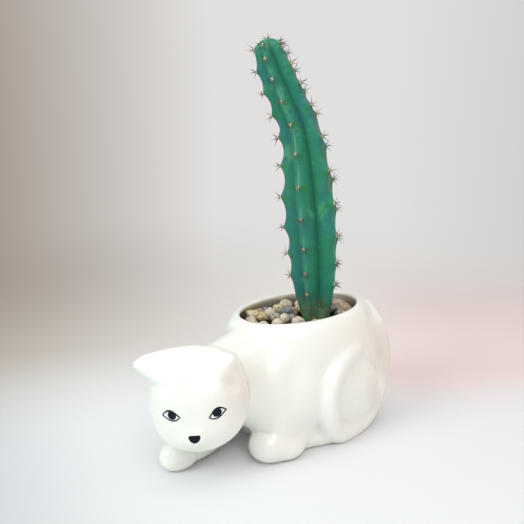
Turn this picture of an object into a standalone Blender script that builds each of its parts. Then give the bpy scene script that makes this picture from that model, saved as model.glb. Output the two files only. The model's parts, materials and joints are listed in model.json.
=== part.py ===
"""A columnar cactus in a white glazed planter shaped as a crouching cat.

Metres, +Z up. The cat faces -Y and its left side is +X. The origin is on the ground, under the centre
of the planter's mouth.
"""

import math
import random

import bmesh
import bpy
import numpy as np
from mathutils import Matrix, Vector
from mathutils.bvhtree import BVHTree

# The seed of every random draw, and the gap between pieces that rest on each other.
SEED = 11
GAP = 0.0003

# The planter's bowl as oval rings from the ground up: height, half width, front, back.
BOWL_RINGS = (
    (-0.004, 0.027, -0.035, 0.035),
    (0.000, 0.031, -0.039, 0.039),
    (0.006, 0.0355, -0.0435, 0.0435),
    (0.014, 0.038, -0.047, 0.047),
    (0.026, 0.0395, -0.049, 0.049),
    (0.038, 0.039, -0.0485, 0.0485),
    (0.046, 0.0375, -0.047, 0.047),
    (0.053, 0.035, -0.0445, 0.0445),
    (0.058, 0.0325, -0.0422, 0.0422),
    (0.0605, 0.0305, -0.0402, 0.0402),
    (0.0612, 0.027, -0.037, 0.037),
)
# The space for the soil, cut out of the bowl and opening out over the rim.
CAVITY_RINGS = (
    (0.005, 0.026, -0.034, 0.034),
    (0.007, 0.030, -0.038, 0.038),
    (0.014, 0.034, -0.043, 0.043),
    (0.026, 0.0353, -0.0448, 0.0448),
    (0.038, 0.0348, -0.0443, 0.0443),
    (0.046, 0.0333, -0.0428, 0.0428),
    (0.053, 0.0303, -0.0398, 0.0398),
    (0.0575, 0.0272, -0.0372, 0.0372),
    (0.0592, 0.0264, -0.0364, 0.0364),
    (0.0602, 0.0268, -0.0368, 0.0368),
    (0.0609, 0.0282, -0.0382, 0.0382),
    (0.066, 0.034, -0.044, 0.044),
)
# Corners of an oval, and steps between two given rings, two given balls and two rows of the stem.
OVAL_SEGMENTS = 48
RING_STEPS = 4
BALL_STEPS = 6
STEM_STEPS = 12

# Soft masses of the body, as balls along a smooth line: centre, radius.
NECK = (
    (0.002, -0.036, 0.038, 0.021),
    (0.003, -0.050, 0.037, 0.0195),
    (0.004, -0.064, 0.037, 0.0175),
)
LEFT_SHOULDER = (
    (0.0140, -0.036, 0.036, 0.0155),
    (0.0185, -0.039, 0.024, 0.0135),
    (0.0220, -0.041, 0.012, 0.0115),
)
RIGHT_SHOULDER = (
    (-0.017, -0.035, 0.030, 0.0155),
    (-0.012, -0.044, 0.017, 0.011),
    (-0.005, -0.054, 0.009, 0.0085),
    (0.000, -0.066, 0.007, 0.0075),
    (0.0015, -0.076, 0.0065, 0.007),
)
# Ellipsoids: centre, half axes.
CHEST = ((0.005, -0.046, 0.029), (0.022, 0.018, 0.0175))
FLANK = ((0.024, -0.022, 0.024), (0.014, 0.022, 0.020))
FOREARM = ((0.0255, -0.032, 0.006), (0.0085, 0.016, 0.009))
LEFT_PAW = ((0.0256, -0.0442, 0.007), (0.0095, 0.0125, 0.0088))
RIGHT_PAW = ((0.0012, -0.0822, 0.0065), (0.0074, 0.0105, 0.0078))
THIGH = ((0.0358, 0.0035, 0.0228), (0.0100, 0.0160, 0.0155))
RIGHT_THIGH = ((-0.0355, 0.002, 0.022), (0.0075, 0.019, 0.019))
RIGHT_FOOT = ((-0.034, -0.018, 0.006), (0.008, 0.014, 0.0072))
HAUNCH_FOOT = ((0.030, -0.010, 0.004), (0.009, 0.020, 0.007))

# The tail, from its root behind the rim, round the left haunch to its tip: centre, radius.
TAIL = (
    (0.015, 0.0375, 0.055, 0.0045),
    (0.024, 0.0372, 0.044, 0.006),
    (0.029, 0.0350, 0.032, 0.0063),
    (0.032, 0.0288, 0.019, 0.0062),
    (0.0345, 0.0205, 0.011, 0.006),
    (0.0352, 0.0110, 0.0050, 0.006),
    (0.0358, 0.0010, 0.0035, 0.006),
    (0.0368, -0.0085, 0.0055, 0.006),
    (0.0384, -0.0155, 0.0125, 0.006),
    (0.0387, -0.0187, 0.0220, 0.006),
    (0.0384, -0.0178, 0.0300, 0.0057),
    (0.0377, -0.0125, 0.0370, 0.0053),
    (0.0370, -0.0040, 0.0415, 0.0048),
    (0.0365, 0.0050, 0.0425, 0.004),
)

# The head, in its own frame: +X the cat's left, -Y the way it faces, +Z up.
HEAD_CENTRE = (0.0082, -0.0748, 0.037)
HEAD_TURN = math.radians(44)
HEAD_NOD = math.radians(5)
HEAD_ROLL = math.radians(-6)
# From chin to crown: height, half width, front, back.
HEAD_RINGS = (
    (-0.0208, 0.0040, -0.0150, -0.0080),
    (-0.0201, 0.0085, -0.0180, -0.0040),
    (-0.0186, 0.0130, -0.0200, 0.0000),
    (-0.0165, 0.0175, -0.0212, 0.0050),
    (-0.0130, 0.0208, -0.0215, 0.0095),
    (-0.0085, 0.0230, -0.0210, 0.0130),
    (-0.0040, 0.0238, -0.0200, 0.0150),
    (0.0010, 0.0236, -0.0188, 0.0160),
    (0.0060, 0.0226, -0.0170, 0.0160),
    (0.0100, 0.0210, -0.0140, 0.0160),
    (0.0130, 0.0188, -0.0090, 0.0150),
    (0.0155, 0.0150, -0.0020, 0.0140),
    (0.0172, 0.0100, 0.0040, 0.0125),
    (0.0177, 0.0050, 0.0060, 0.0100),
)
MUZZLE = ((0, -0.0175, -0.0128), (0.0085, 0.008, 0.0070))
# The ears as the corners of two solid wedges, given on the cat's left, and the ball that hollows each.
LEFT_EAR_TIP = (0.0212, -0.004, 0.0182)
RIGHT_EAR_TIP = (0.0285, -0.003, 0.0200)
EAR_FOOT = (
    (0.0135, -0.0135, 0.0115),
    (0.0215, -0.006, 0.0075),
    (0.0165, 0.005, 0.0195),
    (0.0110, 0.008, 0.0180),
    (0.0205, 0.005, 0.0085),
    (0.0050, -0.003, 0.013),
    (0.0080, 0.000, 0.002),
)
EAR_HOLLOW = ((0.0290, -0.0115, 0.0080), (0.0095, 0.0085, 0.0105))

# Grid size and smoothing rounds for the large masses that flow together, and for the whole casting
# with its firmer head, paws and tail. Then the triangles kept for the outside.
SOFT_VOXEL = 0.0016
SOFT_ROUNDS = 36
FIRM_VOXEL = 0.0011
FIRM_ROUNDS = 5
POT_TRIANGLES = 5400
# The side of the block that cuts everything below the ground.
GROUND_BLOCK = 0.3

# The soil's flat top under the pebbles, its gap to the wall, and the corners of its round hole.
SOIL_TOP = 0.051
SOIL_GAP = 0.0004
HOLE_SEGMENTS = 36

# The stem's middle line and the reach of its ribs, from the soil to the tip: place, radius.
STEM = (
    (0.0050, 0.0081, 0.0515, 0.0070),
    (0.0052, 0.0083, 0.0586, 0.0088),
    (0.0051, 0.0082, 0.0669, 0.0101),
    (0.0048, 0.0079, 0.0780, 0.0121),
    (0.0043, 0.0073, 0.0918, 0.0138),
    (0.0033, 0.0063, 0.1052, 0.0152),
    (0.0024, 0.0053, 0.1186, 0.0150),
    (0.0016, 0.0044, 0.1315, 0.0135),
    (0.0003, 0.0031, 0.1444, 0.0121),
    (-0.0016, 0.0012, 0.1571, 0.0114),
    (-0.0056, -0.0029, 0.1695, 0.0109),
    (-0.0097, -0.0071, 0.1818, 0.0105),
    (-0.0122, -0.0097, 0.1910, 0.0092),
    (-0.0133, -0.0109, 0.1965, 0.0068),
    (-0.0136, -0.0112, 0.1990, 0.0030),
)
# The round foot under the soil: depth, radius.
FOOT = ((0.0200, 0.0035), (0.0193, 0.0055), (0.0175, 0.0067), (0.0150, 0.0070))
RIBS = 5
FIRST_RIB = math.radians(-71)
# Corners of the cross-section from one rib's crest to the next, and how far out each one reaches
# between the valley and the crest.
RIB_CORNERS = ((0, 1.0), (8, 0.84), (20, 0.42), (36, 0.0), (52, 0.42), (64, 0.84))
# The valleys' depth as a share of the radius, and the height at which they are fully grown.
RIB_DEPTH = 0.46
RIB_START = 0.014
# How far a rib stands out at an areole, and how far its edge draws in midway to the next one, as a
# share of their spacing. Then the height from which that is full, and the radius below which both
# get less.
AREOLE_RISE = 0.0008
SCALLOP = 0.15
SCALLOP_START = 0.04
SCALLOP_RADIUS = 0.009
# The surface's rings: the lowest one over the soil, and the least and the most spacing.
FIRST_RING = 0.0006
RING_SPACINGS = (0.0009, 0.0036)
# Corners closer than this are one.
WELD = 0.000001
# The step along the middle line that gives the stem's direction.
LINE_STEP = 0.002
# How far apart areoles sit on a rib: height along the stem, spacing. It is read a little above each
# areole, and every rib ends in one at a distance from the tip.
AREOLE_SPACING = (
    (0.025, 0.0113),
    (0.037, 0.0133),
    (0.052, 0.0159),
    (0.085, 0.0170),
    (0.101, 0.0153),
    (0.115, 0.0124),
    (0.127, 0.0116),
    (0.145, 0.0090),
)
SPACING_LEAD = 0.006
TIP_DISTANCE = 0.003
# The lowest areole of each rib, along the stem from the soil.
FIRST_AREOLES = (0.0194, 0.0235, 0.0200, 0.0290, 0.0271)
# The pad of wool, half sizes across, out of and along the rib, and how deep it sits.
WOOL = (0.0012, 0.0009, 0.0015)
WOOL_SINK = 0.0002
# Spines of one areole: the first stands almost straight out, the others lean away all round it.
SPINES = 4
SPINE_LENGTHS = (0.0032, 0.0050)
SPINE_RADIUS = 0.0003
SPINE_SINK = 0.0004
FIRST_LEAN = math.radians(9)
SPINE_LEANS = (math.radians(53), math.radians(68))

# The pebbles that show most: place, half sizes from longest to shortest, heading, kind of stone.
CHOSEN_PEBBLES = (
    (0.0045, 0.0300, 0.0092, 0.0052, 0.0043, -6, 1),
    (0.0140, 0.0195, 0.0060, 0.0042, 0.0034, 46, 2),
    (-0.0190, -0.0155, 0.0058, 0.0044, 0.0038, 40, 3),
    (-0.0235, -0.0075, 0.0042, 0.0034, 0.0030, 60, 1),
    (-0.0150, -0.0070, 0.0040, 0.0037, 0.0042, 140, 0),
    (-0.0070, -0.0112, 0.0049, 0.0043, 0.0040, 45, 2),
    (-0.0186, 0.0033, 0.0046, 0.0038, 0.0036, 30, 3),
    (-0.0099, 0.0040, 0.0042, 0.0036, 0.0034, 70, 3),
    (-0.0021, -0.0040, 0.0044, 0.0038, 0.0038, 10, 4),
    (-0.0225, 0.0120, 0.0048, 0.0040, 0.0040, 80, 0),
    (-0.0180, 0.0205, 0.0044, 0.0040, 0.0038, 120, 0),
    (0.0065, -0.0075, 0.0043, 0.0038, 0.0038, 80, 0),
    (0.0150, -0.0025, 0.0045, 0.0040, 0.0036, 35, 3),
)
# How far a chosen pebble may lie from its place, how many others are tried, and the most in all.
NUDGE = 0.004
MORE_PEBBLES = 70
PEBBLES = 45
# Half sizes of the others, each between two limits, and how many places are drawn for one pebble.
PEBBLE_SIZES = ((0.0034, 0.0050), (0.0028, 0.0038), (0.0024, 0.0033))
PEBBLE_TRIES = 500
# A stone's corners, how uneven and how tilted it is, and the gap kept around it.
PEBBLE_CORNERS = 20
PEBBLE_ROUGH = (0.88, 1.06)
PEBBLE_TILT = math.radians(18)
PEBBLE_GAP = 0.00035
# The grid that pebbles are laid on: cell, reach, step in height, the mouth's narrowest height, the
# highest top of a pebble, and the room left to the stem.
CELL = 0.0005
BED_REACH = 0.045
BED_STEP = 0.0004
MOUTH_HEIGHT = 0.0592
PEBBLE_LIMIT = 0.0604
STEM_CLEAR = 0.0098

# Surfaces: colour, roughness.
WHITE_GLAZE = ((0.86, 0.85, 0.80), 0.12)
SOIL_BROWN = ((0.05, 0.035, 0.025), 0.95)
STEM_GREEN = ((0.05, 0.25, 0.18), 0.5)
STONE_ROUGHNESS = 0.75
# Kinds of stone: pale, pink-brown, grey, yellow crusted, blue-grey.
STONE_COLOURS = (
    (0.62, 0.58, 0.52),
    (0.50, 0.38, 0.30),
    (0.42, 0.40, 0.38),
    (0.55, 0.42, 0.20),
    (0.25, 0.28, 0.30),
)


def remove_objects():
    """Empties the scene."""
    for obj in list(bpy.data.objects):
        bpy.data.objects.remove(obj, do_unlink=True)


def material(name, colour, roughness):
    """A plain surface of one colour."""
    made = bpy.data.materials.new(name)
    made.use_nodes = True
    shader = made.node_tree.nodes["Principled BSDF"]
    shader.inputs["Base Color"].default_value = (*colour, 1)
    shader.inputs["Roughness"].default_value = roughness
    return made


def placed(name, bm, surface=None):
    """A named object made from a bmesh, at the origin."""
    mesh = bpy.data.meshes.new(name)
    bmesh.ops.recalc_face_normals(bm, faces=bm.faces)
    if bm.calc_volume(signed=True) < 0:
        bmesh.ops.reverse_faces(bm, faces=bm.faces)
    bm.to_mesh(mesh)
    bm.free()
    obj = bpy.data.objects.new(name, mesh)
    bpy.context.collection.objects.link(obj)
    if surface:
        mesh.materials.append(surface)
    mesh.shade_smooth()
    return obj


def evaluated(obj):
    """The object's mesh with its modifiers applied."""
    graph = bpy.context.evaluated_depsgraph_get()
    return bpy.data.meshes.new_from_object(obj.evaluated_get(graph))


def through(rows, steps):
    """Rows on a smooth curve through the given rows, so many from each to the next."""
    ends = [rows[0], *rows, rows[-1]]
    for a, b, c, d in zip(ends, ends[1:], ends[2:], ends[3:]):
        for i in range(steps):
            t = i / steps
            yield tuple(
                q + 0.5 * t * (r - p + t * (2 * p - 5 * q + 4 * r - s + t * (3 * (q - r) + s - p)))
                for p, q, r, s in zip(a, b, c, d)
            )
    yield tuple(rows[-1])


def oval_loft(bm, rings, frame=Matrix()):
    """Adds a closed solid through oval rings, each a height, a half width, a front and a back."""
    loops = []
    for height, wide, front, back in rings:
        centre = Matrix.Translation((0, (front + back) / 2, height))
        place = frame @ centre @ Matrix.Diagonal((wide, (back - front) / 2, 1, 1))
        bmesh.ops.create_circle(bm, segments=OVAL_SEGMENTS, radius=1, matrix=place)
        loops.append(list(bm.edges)[-OVAL_SEGMENTS:])
    for lower, upper in zip(loops, loops[1:]):
        bmesh.ops.bridge_loops(bm, edges=lower + upper)
    for end in (loops[0], loops[-1]):
        bmesh.ops.edgeloop_fill(bm, edges=end)


def ellipsoid(bm, shape, frame=Matrix()):
    """Adds an ellipsoid given by its centre and half axes, in a frame."""
    centre, half = shape
    place = frame @ Matrix.Translation(centre) @ Matrix.Diagonal((*half, 1))
    bmesh.ops.create_icosphere(bm, subdivisions=3, radius=1, matrix=place)


def balls(bm, rows):
    """Adds balls close together along a smooth line, which read as one limb."""
    for x, y, z, radius in through(rows, BALL_STEPS):
        ellipsoid(bm, ((x, y, z), (radius,) * 3))


def mirrored(shape):
    """The same ellipsoid on the other side of the head."""
    (x, y, z), half = shape
    return (-x, y, z), half


def skinned(obj, voxel):
    """Gives the object one closed skin over all its shapes."""
    skin = obj.modifiers.new("skin", "REMESH")
    skin.mode = "VOXEL"
    skin.voxel_size = voxel


def softened(obj, rounds):
    """Smooths the object's skin."""
    smooth = obj.modifiers.new("soften", "SMOOTH")
    smooth.factor = 0.5
    smooth.iterations = rounds


def cutter(name, bm):
    """A solid that only cuts others."""
    obj = placed(name, bm)
    obj.hide_render = True
    obj.display_type = "WIRE"
    return obj


def cut(obj, tool):
    """Cuts one object by another."""
    boolean = obj.modifiers.new("cut", "BOOLEAN")
    boolean.operation = "DIFFERENCE"
    boolean.object = tool


def cat_body():
    """The cat's large soft masses as one smooth mesh."""
    bm = bmesh.new()
    oval_loft(bm, through(BOWL_RINGS, RING_STEPS))
    for limb in (NECK, LEFT_SHOULDER, RIGHT_SHOULDER):
        balls(bm, limb)
    for mass in (CHEST, FLANK, FOREARM, RIGHT_THIGH, RIGHT_FOOT, HAUNCH_FOOT):
        ellipsoid(bm, mass)
    obj = placed("body_masses", bm)
    skinned(obj, SOFT_VOXEL)
    softened(obj, SOFT_ROUNDS)
    mesh = evaluated(obj)
    bpy.data.objects.remove(obj)
    return mesh


def head_frame():
    """Where the head is and how it is turned."""
    return (
        Matrix.Translation(HEAD_CENTRE)
        @ Matrix.Rotation(HEAD_TURN, 4, "Z")
        @ Matrix.Rotation(HEAD_NOD, 4, "X")
        @ Matrix.Rotation(HEAD_ROLL, 4, "Y")
    )


def add_head(bm):
    """Adds the head, its muzzle and the wedges of the ears."""
    frame = head_frame()
    oval_loft(bm, through(HEAD_RINGS, RING_STEPS), frame)
    ellipsoid(bm, MUZZLE, frame)
    for side, tip in ((1, LEFT_EAR_TIP), (-1, RIGHT_EAR_TIP)):
        spots = [frame @ Vector((side * x, y, z)) for x, y, z in (tip, *EAR_FOOT)]
        corners = [bm.verts.new(spot) for spot in spots]
        bmesh.ops.convex_hull(bm, input=corners)


def ear_hollows():
    """The two scoops that hollow the ears."""
    bm = bmesh.new()
    for shape in (EAR_HOLLOW, mirrored(EAR_HOLLOW)):
        ellipsoid(bm, shape, head_frame())
    return cutter("ear_hollows", bm)


def cat_pot():
    """The planter, one casting from paws to ears, hollow and flat underneath."""
    bm = bmesh.new()
    bm.from_mesh(cat_body())
    add_head(bm)
    for mass in (LEFT_PAW, RIGHT_PAW, THIGH):
        ellipsoid(bm, mass)
    balls(bm, TAIL)
    obj = placed("cat_pot", bm, material("white_glaze", *WHITE_GLAZE))
    skinned(obj, FIRM_VOXEL)
    cut(obj, ear_hollows())
    softened(obj, FIRM_ROUNDS)

    thin = obj.modifiers.new("fewer_faces", "DECIMATE")
    thin.ratio = POT_TRIANGLES / triangles(obj)

    bm = bmesh.new()
    oval_loft(bm, CAVITY_RINGS)
    cut(obj, cutter("cavity", bm))
    bm = bmesh.new()
    below = Matrix.Translation((0, 0, -GROUND_BLOCK / 2))
    bmesh.ops.create_cube(bm, size=GROUND_BLOCK, matrix=below)
    cut(obj, cutter("ground", bm))


def triangles(obj):
    """How many triangles the object has with its modifiers."""
    mesh = evaluated(obj)
    return sum(len(face.vertices) - 2 for face in mesh.polygons)


def soil():
    """The soil, filling the planter up to its flat top, with a round hole for the stem's foot."""
    bm = bmesh.new()
    rings = [
        (height + GAP, wide - SOIL_GAP, front + SOIL_GAP, back - SOIL_GAP)
        for height, wide, front, back in CAVITY_RINGS
    ]
    oval_loft(bm, rings)
    sheet = bm.verts[:] + bm.edges[:] + bm.faces[:]
    made = bmesh.ops.bisect_plane(
        bm, geom=sheet, plane_co=(0, 0, SOIL_TOP), plane_no=(0, 0, 1), clear_outer=True
    )
    rim = [item for item in made["geom_cut"] if isinstance(item, bmesh.types.BMEdge)]
    bmesh.ops.edgeloop_fill(bm, edges=rim)
    obj = placed("soil", bm, material("soil", *SOIL_BROWN))

    x, y, _, radius = STEM[0]
    deep = FOOT[0][0] + GAP
    bm = bmesh.new()
    bmesh.ops.create_cone(
        bm,
        cap_ends=True,
        segments=HOLE_SEGMENTS,
        radius1=radius + GAP,
        radius2=radius + GAP,
        depth=2 * deep,
        matrix=Matrix.Translation((x, y, SOIL_TOP)),
    )
    cut(obj, cutter("foot_hole", bm))


class Stem:
    """The cactus stem as a formula: its middle line, frames, ribs and areoles."""

    def __init__(self):
        rows = np.array(list(through(STEM, STEM_STEPS)))
        x, y, _, radius = STEM[0]
        foot = np.array([(x, y, SOIL_TOP - deep, wide) for deep, wide in FOOT])
        self.rows = np.vstack((foot, rows))
        steps = np.linalg.norm(np.diff(self.rows[:, :3], axis=0), axis=1)
        self.heights = np.concatenate(([0], np.cumsum(steps))) - (SOIL_TOP - foot[0, 2])
        self.areoles = [self.rib_areoles(first) for first in FIRST_AREOLES]

    def rib_areoles(self, height):
        """Heights of one rib's areoles."""
        marks, gaps = zip(*AREOLE_SPACING)
        top = float(self.heights[-1])
        found = []
        while height < top - 2 * TIP_DISTANCE:
            found.append(height)
            height += float(np.interp(height + SPACING_LEAD, marks, gaps))
        return [*found, top - TIP_DISTANCE]

    def centre(self, height):
        """The middle of the stem at a height along it."""
        return Vector([float(np.interp(height, self.heights, self.rows[:, i])) for i in range(3)])

    def frame(self, height):
        """The stem's own directions there: two across it and one along it."""
        along = (self.centre(height + LINE_STEP) - self.centre(height - LINE_STEP)).normalized()
        across = Vector((0, 1, 0)).cross(along).normalized()
        return across, along.cross(across), along

    def outward(self, angle, height):
        """The direction away from the middle line."""
        across, aside, _ = self.frame(height)
        return across * math.cos(angle) + aside * math.sin(angle)

    def scallop(self, rib, height):
        """How far the rib's edge draws in: not at an areole, and the most midway between two."""
        marks, gaps = zip(*AREOLE_SPACING)
        gap = float(np.interp(height, marks, gaps))
        away = min(abs(areole - height) for areole in self.areoles[rib])
        near = max(0.0, 1 - 2 * away / gap)
        return SCALLOP * gap * min(1, height / SCALLOP_START) * (1 - near * near)

    def radius(self, rib, reach, height):
        """The stem's radius at a height, beside or on a rib."""
        crest = float(np.interp(height, self.heights, self.rows[:, 3]))
        started = min(1.0, max(0.0, height / RIB_START))
        depth = RIB_DEPTH * started * started * (3 - 2 * started)
        edge = started * min(1, crest / SCALLOP_RADIUS) * (AREOLE_RISE - self.scallop(rib, height))
        return crest * (1 - depth * (1 - reach)) + reach * edge

    def point(self, corner, height):
        """A point of the surface, on one corner of the cross-section."""
        rib, step = divmod(corner, len(RIB_CORNERS))
        turn, reach = RIB_CORNERS[step]
        angle = FIRST_RIB + math.radians(rib * 360 / RIBS + turn)
        nearest = (rib + (step > len(RIB_CORNERS) // 2)) % RIBS
        radius = self.radius(nearest, reach, height)
        return self.centre(height) + self.outward(angle, height) * radius


def stem_heights(stem):
    """Heights of the surface's rings: one at each areole, or close by, and even ones between."""
    least, most = RING_SPACINGS
    rings = [-deep for deep, _ in FOOT] + [FIRST_RING]
    for height in [*sorted(sum(stem.areoles, [])), float(stem.heights[-1])]:
        gap = height - rings[-1]
        if gap > least:
            steps = math.ceil(gap / most)
            rings += [height - gap * (1 - i / steps) for i in range(1, steps + 1)]
    return rings


def spine(spot, direction, length):
    """One three-sided spine, its root sunk in the stem."""
    bm = bmesh.new()
    turn = direction.to_track_quat("Z", "Y").to_matrix().to_4x4()
    bmesh.ops.create_cone(
        bm,
        cap_ends=True,
        segments=3,
        radius1=SPINE_RADIUS,
        radius2=0,
        depth=length,
        matrix=Matrix.Translation(spot + direction * (length / 2 - SPINE_SINK)) @ turn,
    )
    return placed("spine", bm)


def areole_pieces(stem):
    """Every areole's pad of wool and its spines, as loose solids."""
    draw = random.Random(SEED)
    pieces = []
    for rib, heights in enumerate(stem.areoles):
        angle = FIRST_RIB + math.radians(rib * 360 / RIBS)
        for height in heights:
            out = stem.outward(angle, height)
            along = stem.frame(height)[2]
            side = along.cross(out)
            spot = stem.centre(height) + out * (stem.radius(rib, 1, height) - WOOL_SINK)
            turn = Matrix((side, out, along)).transposed().to_4x4()
            bm = bmesh.new()
            place = Matrix.Translation(spot) @ turn @ Matrix.Diagonal((*WOOL, 1))
            bmesh.ops.create_icosphere(bm, subdivisions=1, radius=1, matrix=place)
            pieces.append(placed("wool", bm))
            start = draw.uniform(0, math.tau)
            for i in range(SPINES):
                lean = FIRST_LEAN if i == 0 else draw.uniform(*SPINE_LEANS)
                around = start + math.tau * i / (SPINES - 1)
                away = side * math.cos(around) + along * math.sin(around)
                direction = out * math.cos(lean) + away * math.sin(lean)
                pieces.append(spine(spot, direction, draw.uniform(*SPINE_LENGTHS)))
    return pieces


def fused(obj, pieces):
    """Joins loose solids to the object in one union, and removes them."""
    loose = bpy.data.collections.new("loose")
    bpy.context.scene.collection.children.link(loose)
    for piece in pieces:
        bpy.context.collection.objects.unlink(piece)
        loose.objects.link(piece)
    union = obj.modifiers.new("fuse", "BOOLEAN")
    union.operation = "UNION"
    union.operand_type = "COLLECTION"
    union.collection = loose
    union.solver = "MANIFOLD"
    mesh = evaluated(obj)
    obj.modifiers.remove(union)
    obj.data = mesh
    for piece in pieces:
        bpy.data.objects.remove(piece)
    bpy.data.collections.remove(loose)


def cactus(stem):
    """The cactus: one stem with scalloped ribs, its areoles and its spines grown together."""
    heights = stem_heights(stem)
    corners = RIBS * len(RIB_CORNERS)
    rings = len(heights) - 1
    bm = bmesh.new()
    bmesh.ops.create_grid(bm, x_segments=corners, y_segments=rings, size=1)
    for vert in bm.verts:
        corner = round((vert.co.x + 1) / 2 * corners) % corners
        ring = round((vert.co.y + 1) / 2 * rings)
        vert.co = stem.point(corner, heights[ring])
    bmesh.ops.remove_doubles(bm, verts=bm.verts, dist=WELD)
    bmesh.ops.holes_fill(bm, edges=[edge for edge in bm.edges if edge.is_boundary])
    obj = placed("cactus", bm, material("stem_green", *STEM_GREEN))
    fused(obj, areole_pieces(stem))


class Bed:
    """What lies in the planter's mouth so far, as heights on a square grid."""

    def __init__(self):
        self.count = round(BED_REACH / CELL)
        marks = np.arange(-self.count, self.count + 1) * CELL
        x, y = np.meshgrid(marks, marks, indexing="ij")
        self.heights = np.full(x.shape, np.inf)
        self.ceiling = np.full(x.shape, -np.inf)
        rows = np.array(CAVITY_RINGS)
        for z in np.arange(SOIL_TOP, MOUTH_HEIGHT, BED_STEP):
            wide = np.interp(z, rows[:, 0], rows[:, 1])
            long = np.interp(z, rows[:, 0], rows[:, 3])
            inside = (x / wide) ** 2 + (y / long) ** 2 < 1
            self.ceiling[inside] = z
        self.heights[self.ceiling > 0] = SOIL_TOP
        self.ceiling[inside] = np.inf
        stem_x, stem_y, _, _ = STEM[0]
        self.heights[np.hypot(x - stem_x, y - stem_y) < STEM_CLEAR] = np.inf

    def window(self, x, y, reach):
        """The part of the grid around a place."""
        i, j = round(x / CELL) + self.count, round(y / CELL) + self.count
        return slice(i - reach, i + reach + 1), slice(j - reach, j + reach + 1)

    def rest_height(self, pebble, x, y):
        """How high the pebble comes to lie there, or None where it has no room."""
        part = self.window(x, y, pebble.reach)
        if self.heights[part].shape != pebble.under.shape:
            return None
        height = float(np.max(self.heights[part][pebble.covers] - pebble.under[pebble.covers]))
        lid = np.minimum(self.ceiling[part], PEBBLE_LIMIT)
        if not math.isfinite(height) or np.any(height + pebble.over > lid):
            return None
        return height

    def lay(self, pebble, x, y, height):
        """Adds a pebble at rest to the heights."""
        part = self.window(x, y, pebble.reach)
        self.heights[part] = np.maximum(self.heights[part], height + pebble.over)


class Pebble:
    """A rough stone, turned as it lies, with its under and upper side on the grid."""

    def __init__(self, draw, half, heading):
        self.bm = bmesh.new()
        for i in range(PEBBLE_CORNERS):
            level = 1 - (2 * i + 1) / PEBBLE_CORNERS
            around = i * math.pi * (3 - math.sqrt(5))
            wide = math.sqrt(1 - level * level)
            spot = Vector((wide * math.cos(around), wide * math.sin(around), level))
            self.bm.verts.new(spot * draw.uniform(*PEBBLE_ROUGH))
        hull = bmesh.ops.convex_hull(self.bm, input=self.bm.verts)
        loose = [item for item in hull["geom_interior"] if isinstance(item, bmesh.types.BMVert)]
        bmesh.ops.delete(self.bm, geom=loose, context="VERTS")
        turn = (
            Matrix.Rotation(heading, 4, "Z")
            @ Matrix.Rotation(draw.uniform(-PEBBLE_TILT, PEBBLE_TILT), 4, "X")
            @ Matrix.Rotation(draw.uniform(-PEBBLE_TILT, PEBBLE_TILT), 4, "Y")
        )
        self.bm.transform(turn @ Matrix.Diagonal((*half, 1)))
        self.measure(1 + PEBBLE_GAP / half[2])

    def measure(self, swell):
        """Reads the stone's two sides, a gap larger than it is, by rays along the grid."""
        grown = self.bm.copy()
        grown.transform(Matrix.Scale(swell, 4))
        tree = BVHTree.FromBMesh(grown)
        self.reach = math.ceil(max(vert.co.xy.length for vert in grown.verts) / CELL)
        grown.free()
        size = 2 * self.reach + 1
        self.under = np.full((size, size), np.inf)
        self.over = np.full((size, size), -np.inf)
        self.covers = np.zeros((size, size), dtype=bool)
        for i in range(size):
            for j in range(size):
                x, y = (i - self.reach) * CELL, (j - self.reach) * CELL
                low = tree.ray_cast(Vector((x, y, -1)), Vector((0, 0, 1)))[0]
                if low:
                    high = tree.ray_cast(Vector((x, y, 1)), Vector((0, 0, -1)))[0]
                    self.covers[i, j] = True
                    self.under[i, j] = low.z
                    self.over[i, j] = high.z


def resting_place(bed, pebble, draw, wish, spread, pull):
    """The best of many drawn places for a pebble: low, and not far from where it is wished."""
    found = []
    for _ in range(PEBBLE_TRIES):
        x = wish[0] + draw.uniform(-spread, spread)
        y = wish[1] + draw.uniform(-spread, spread)
        height = bed.rest_height(pebble, x, y)
        if height is not None:
            found.append((height + pull * math.dist(wish, (x, y)), x, y, height))
    return min(found)[1:] if found else None


def pebbles():
    """Loose pebbles on the soil, each lowered onto what already lies there."""
    draw = random.Random(SEED)
    bed = Bed()
    kinds = [material(f"stone_{i}", colour, STONE_ROUGHNESS) for i, colour in enumerate(STONE_COLOURS)]
    wished = []
    for x, y, *half, turn, kind in CHOSEN_PEBBLES:
        wished.append(((x, y), half, math.radians(turn), kind, NUDGE, 1))
    for i in range(MORE_PEBBLES):
        half = [draw.uniform(*limits) for limits in PEBBLE_SIZES]
        wished.append(((0, 0), half, draw.uniform(0, math.tau), i % len(kinds), BED_REACH, 0))
    number = 0
    for wish, half, turn, kind, spread, pull in wished:
        pebble = Pebble(draw, half, turn)
        place = resting_place(bed, pebble, draw, wish, spread, pull)
        if place is None or number == PEBBLES:
            continue
        x, y, height = place
        bed.lay(pebble, x, y, height)
        number += 1
        obj = placed(f"pebble_{number:02d}", pebble.bm, kinds[kind])
        obj.location = (round(x / CELL) * CELL, round(y / CELL) * CELL, height)
        obj.data.shade_flat()


remove_objects()
cat_pot()
soil()
cactus(Stem())
pebbles()
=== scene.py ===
"""A columnar cactus in a white glazed planter shaped as a crouching cat.

Metres, +Z up. The cat faces -Y and its left side is +X. The origin is on the ground, under the centre
of the planter's mouth.
"""

import json
import math
import random

import bmesh
import bpy
import numpy as np
from mathutils import Matrix, Vector, noise

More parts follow.
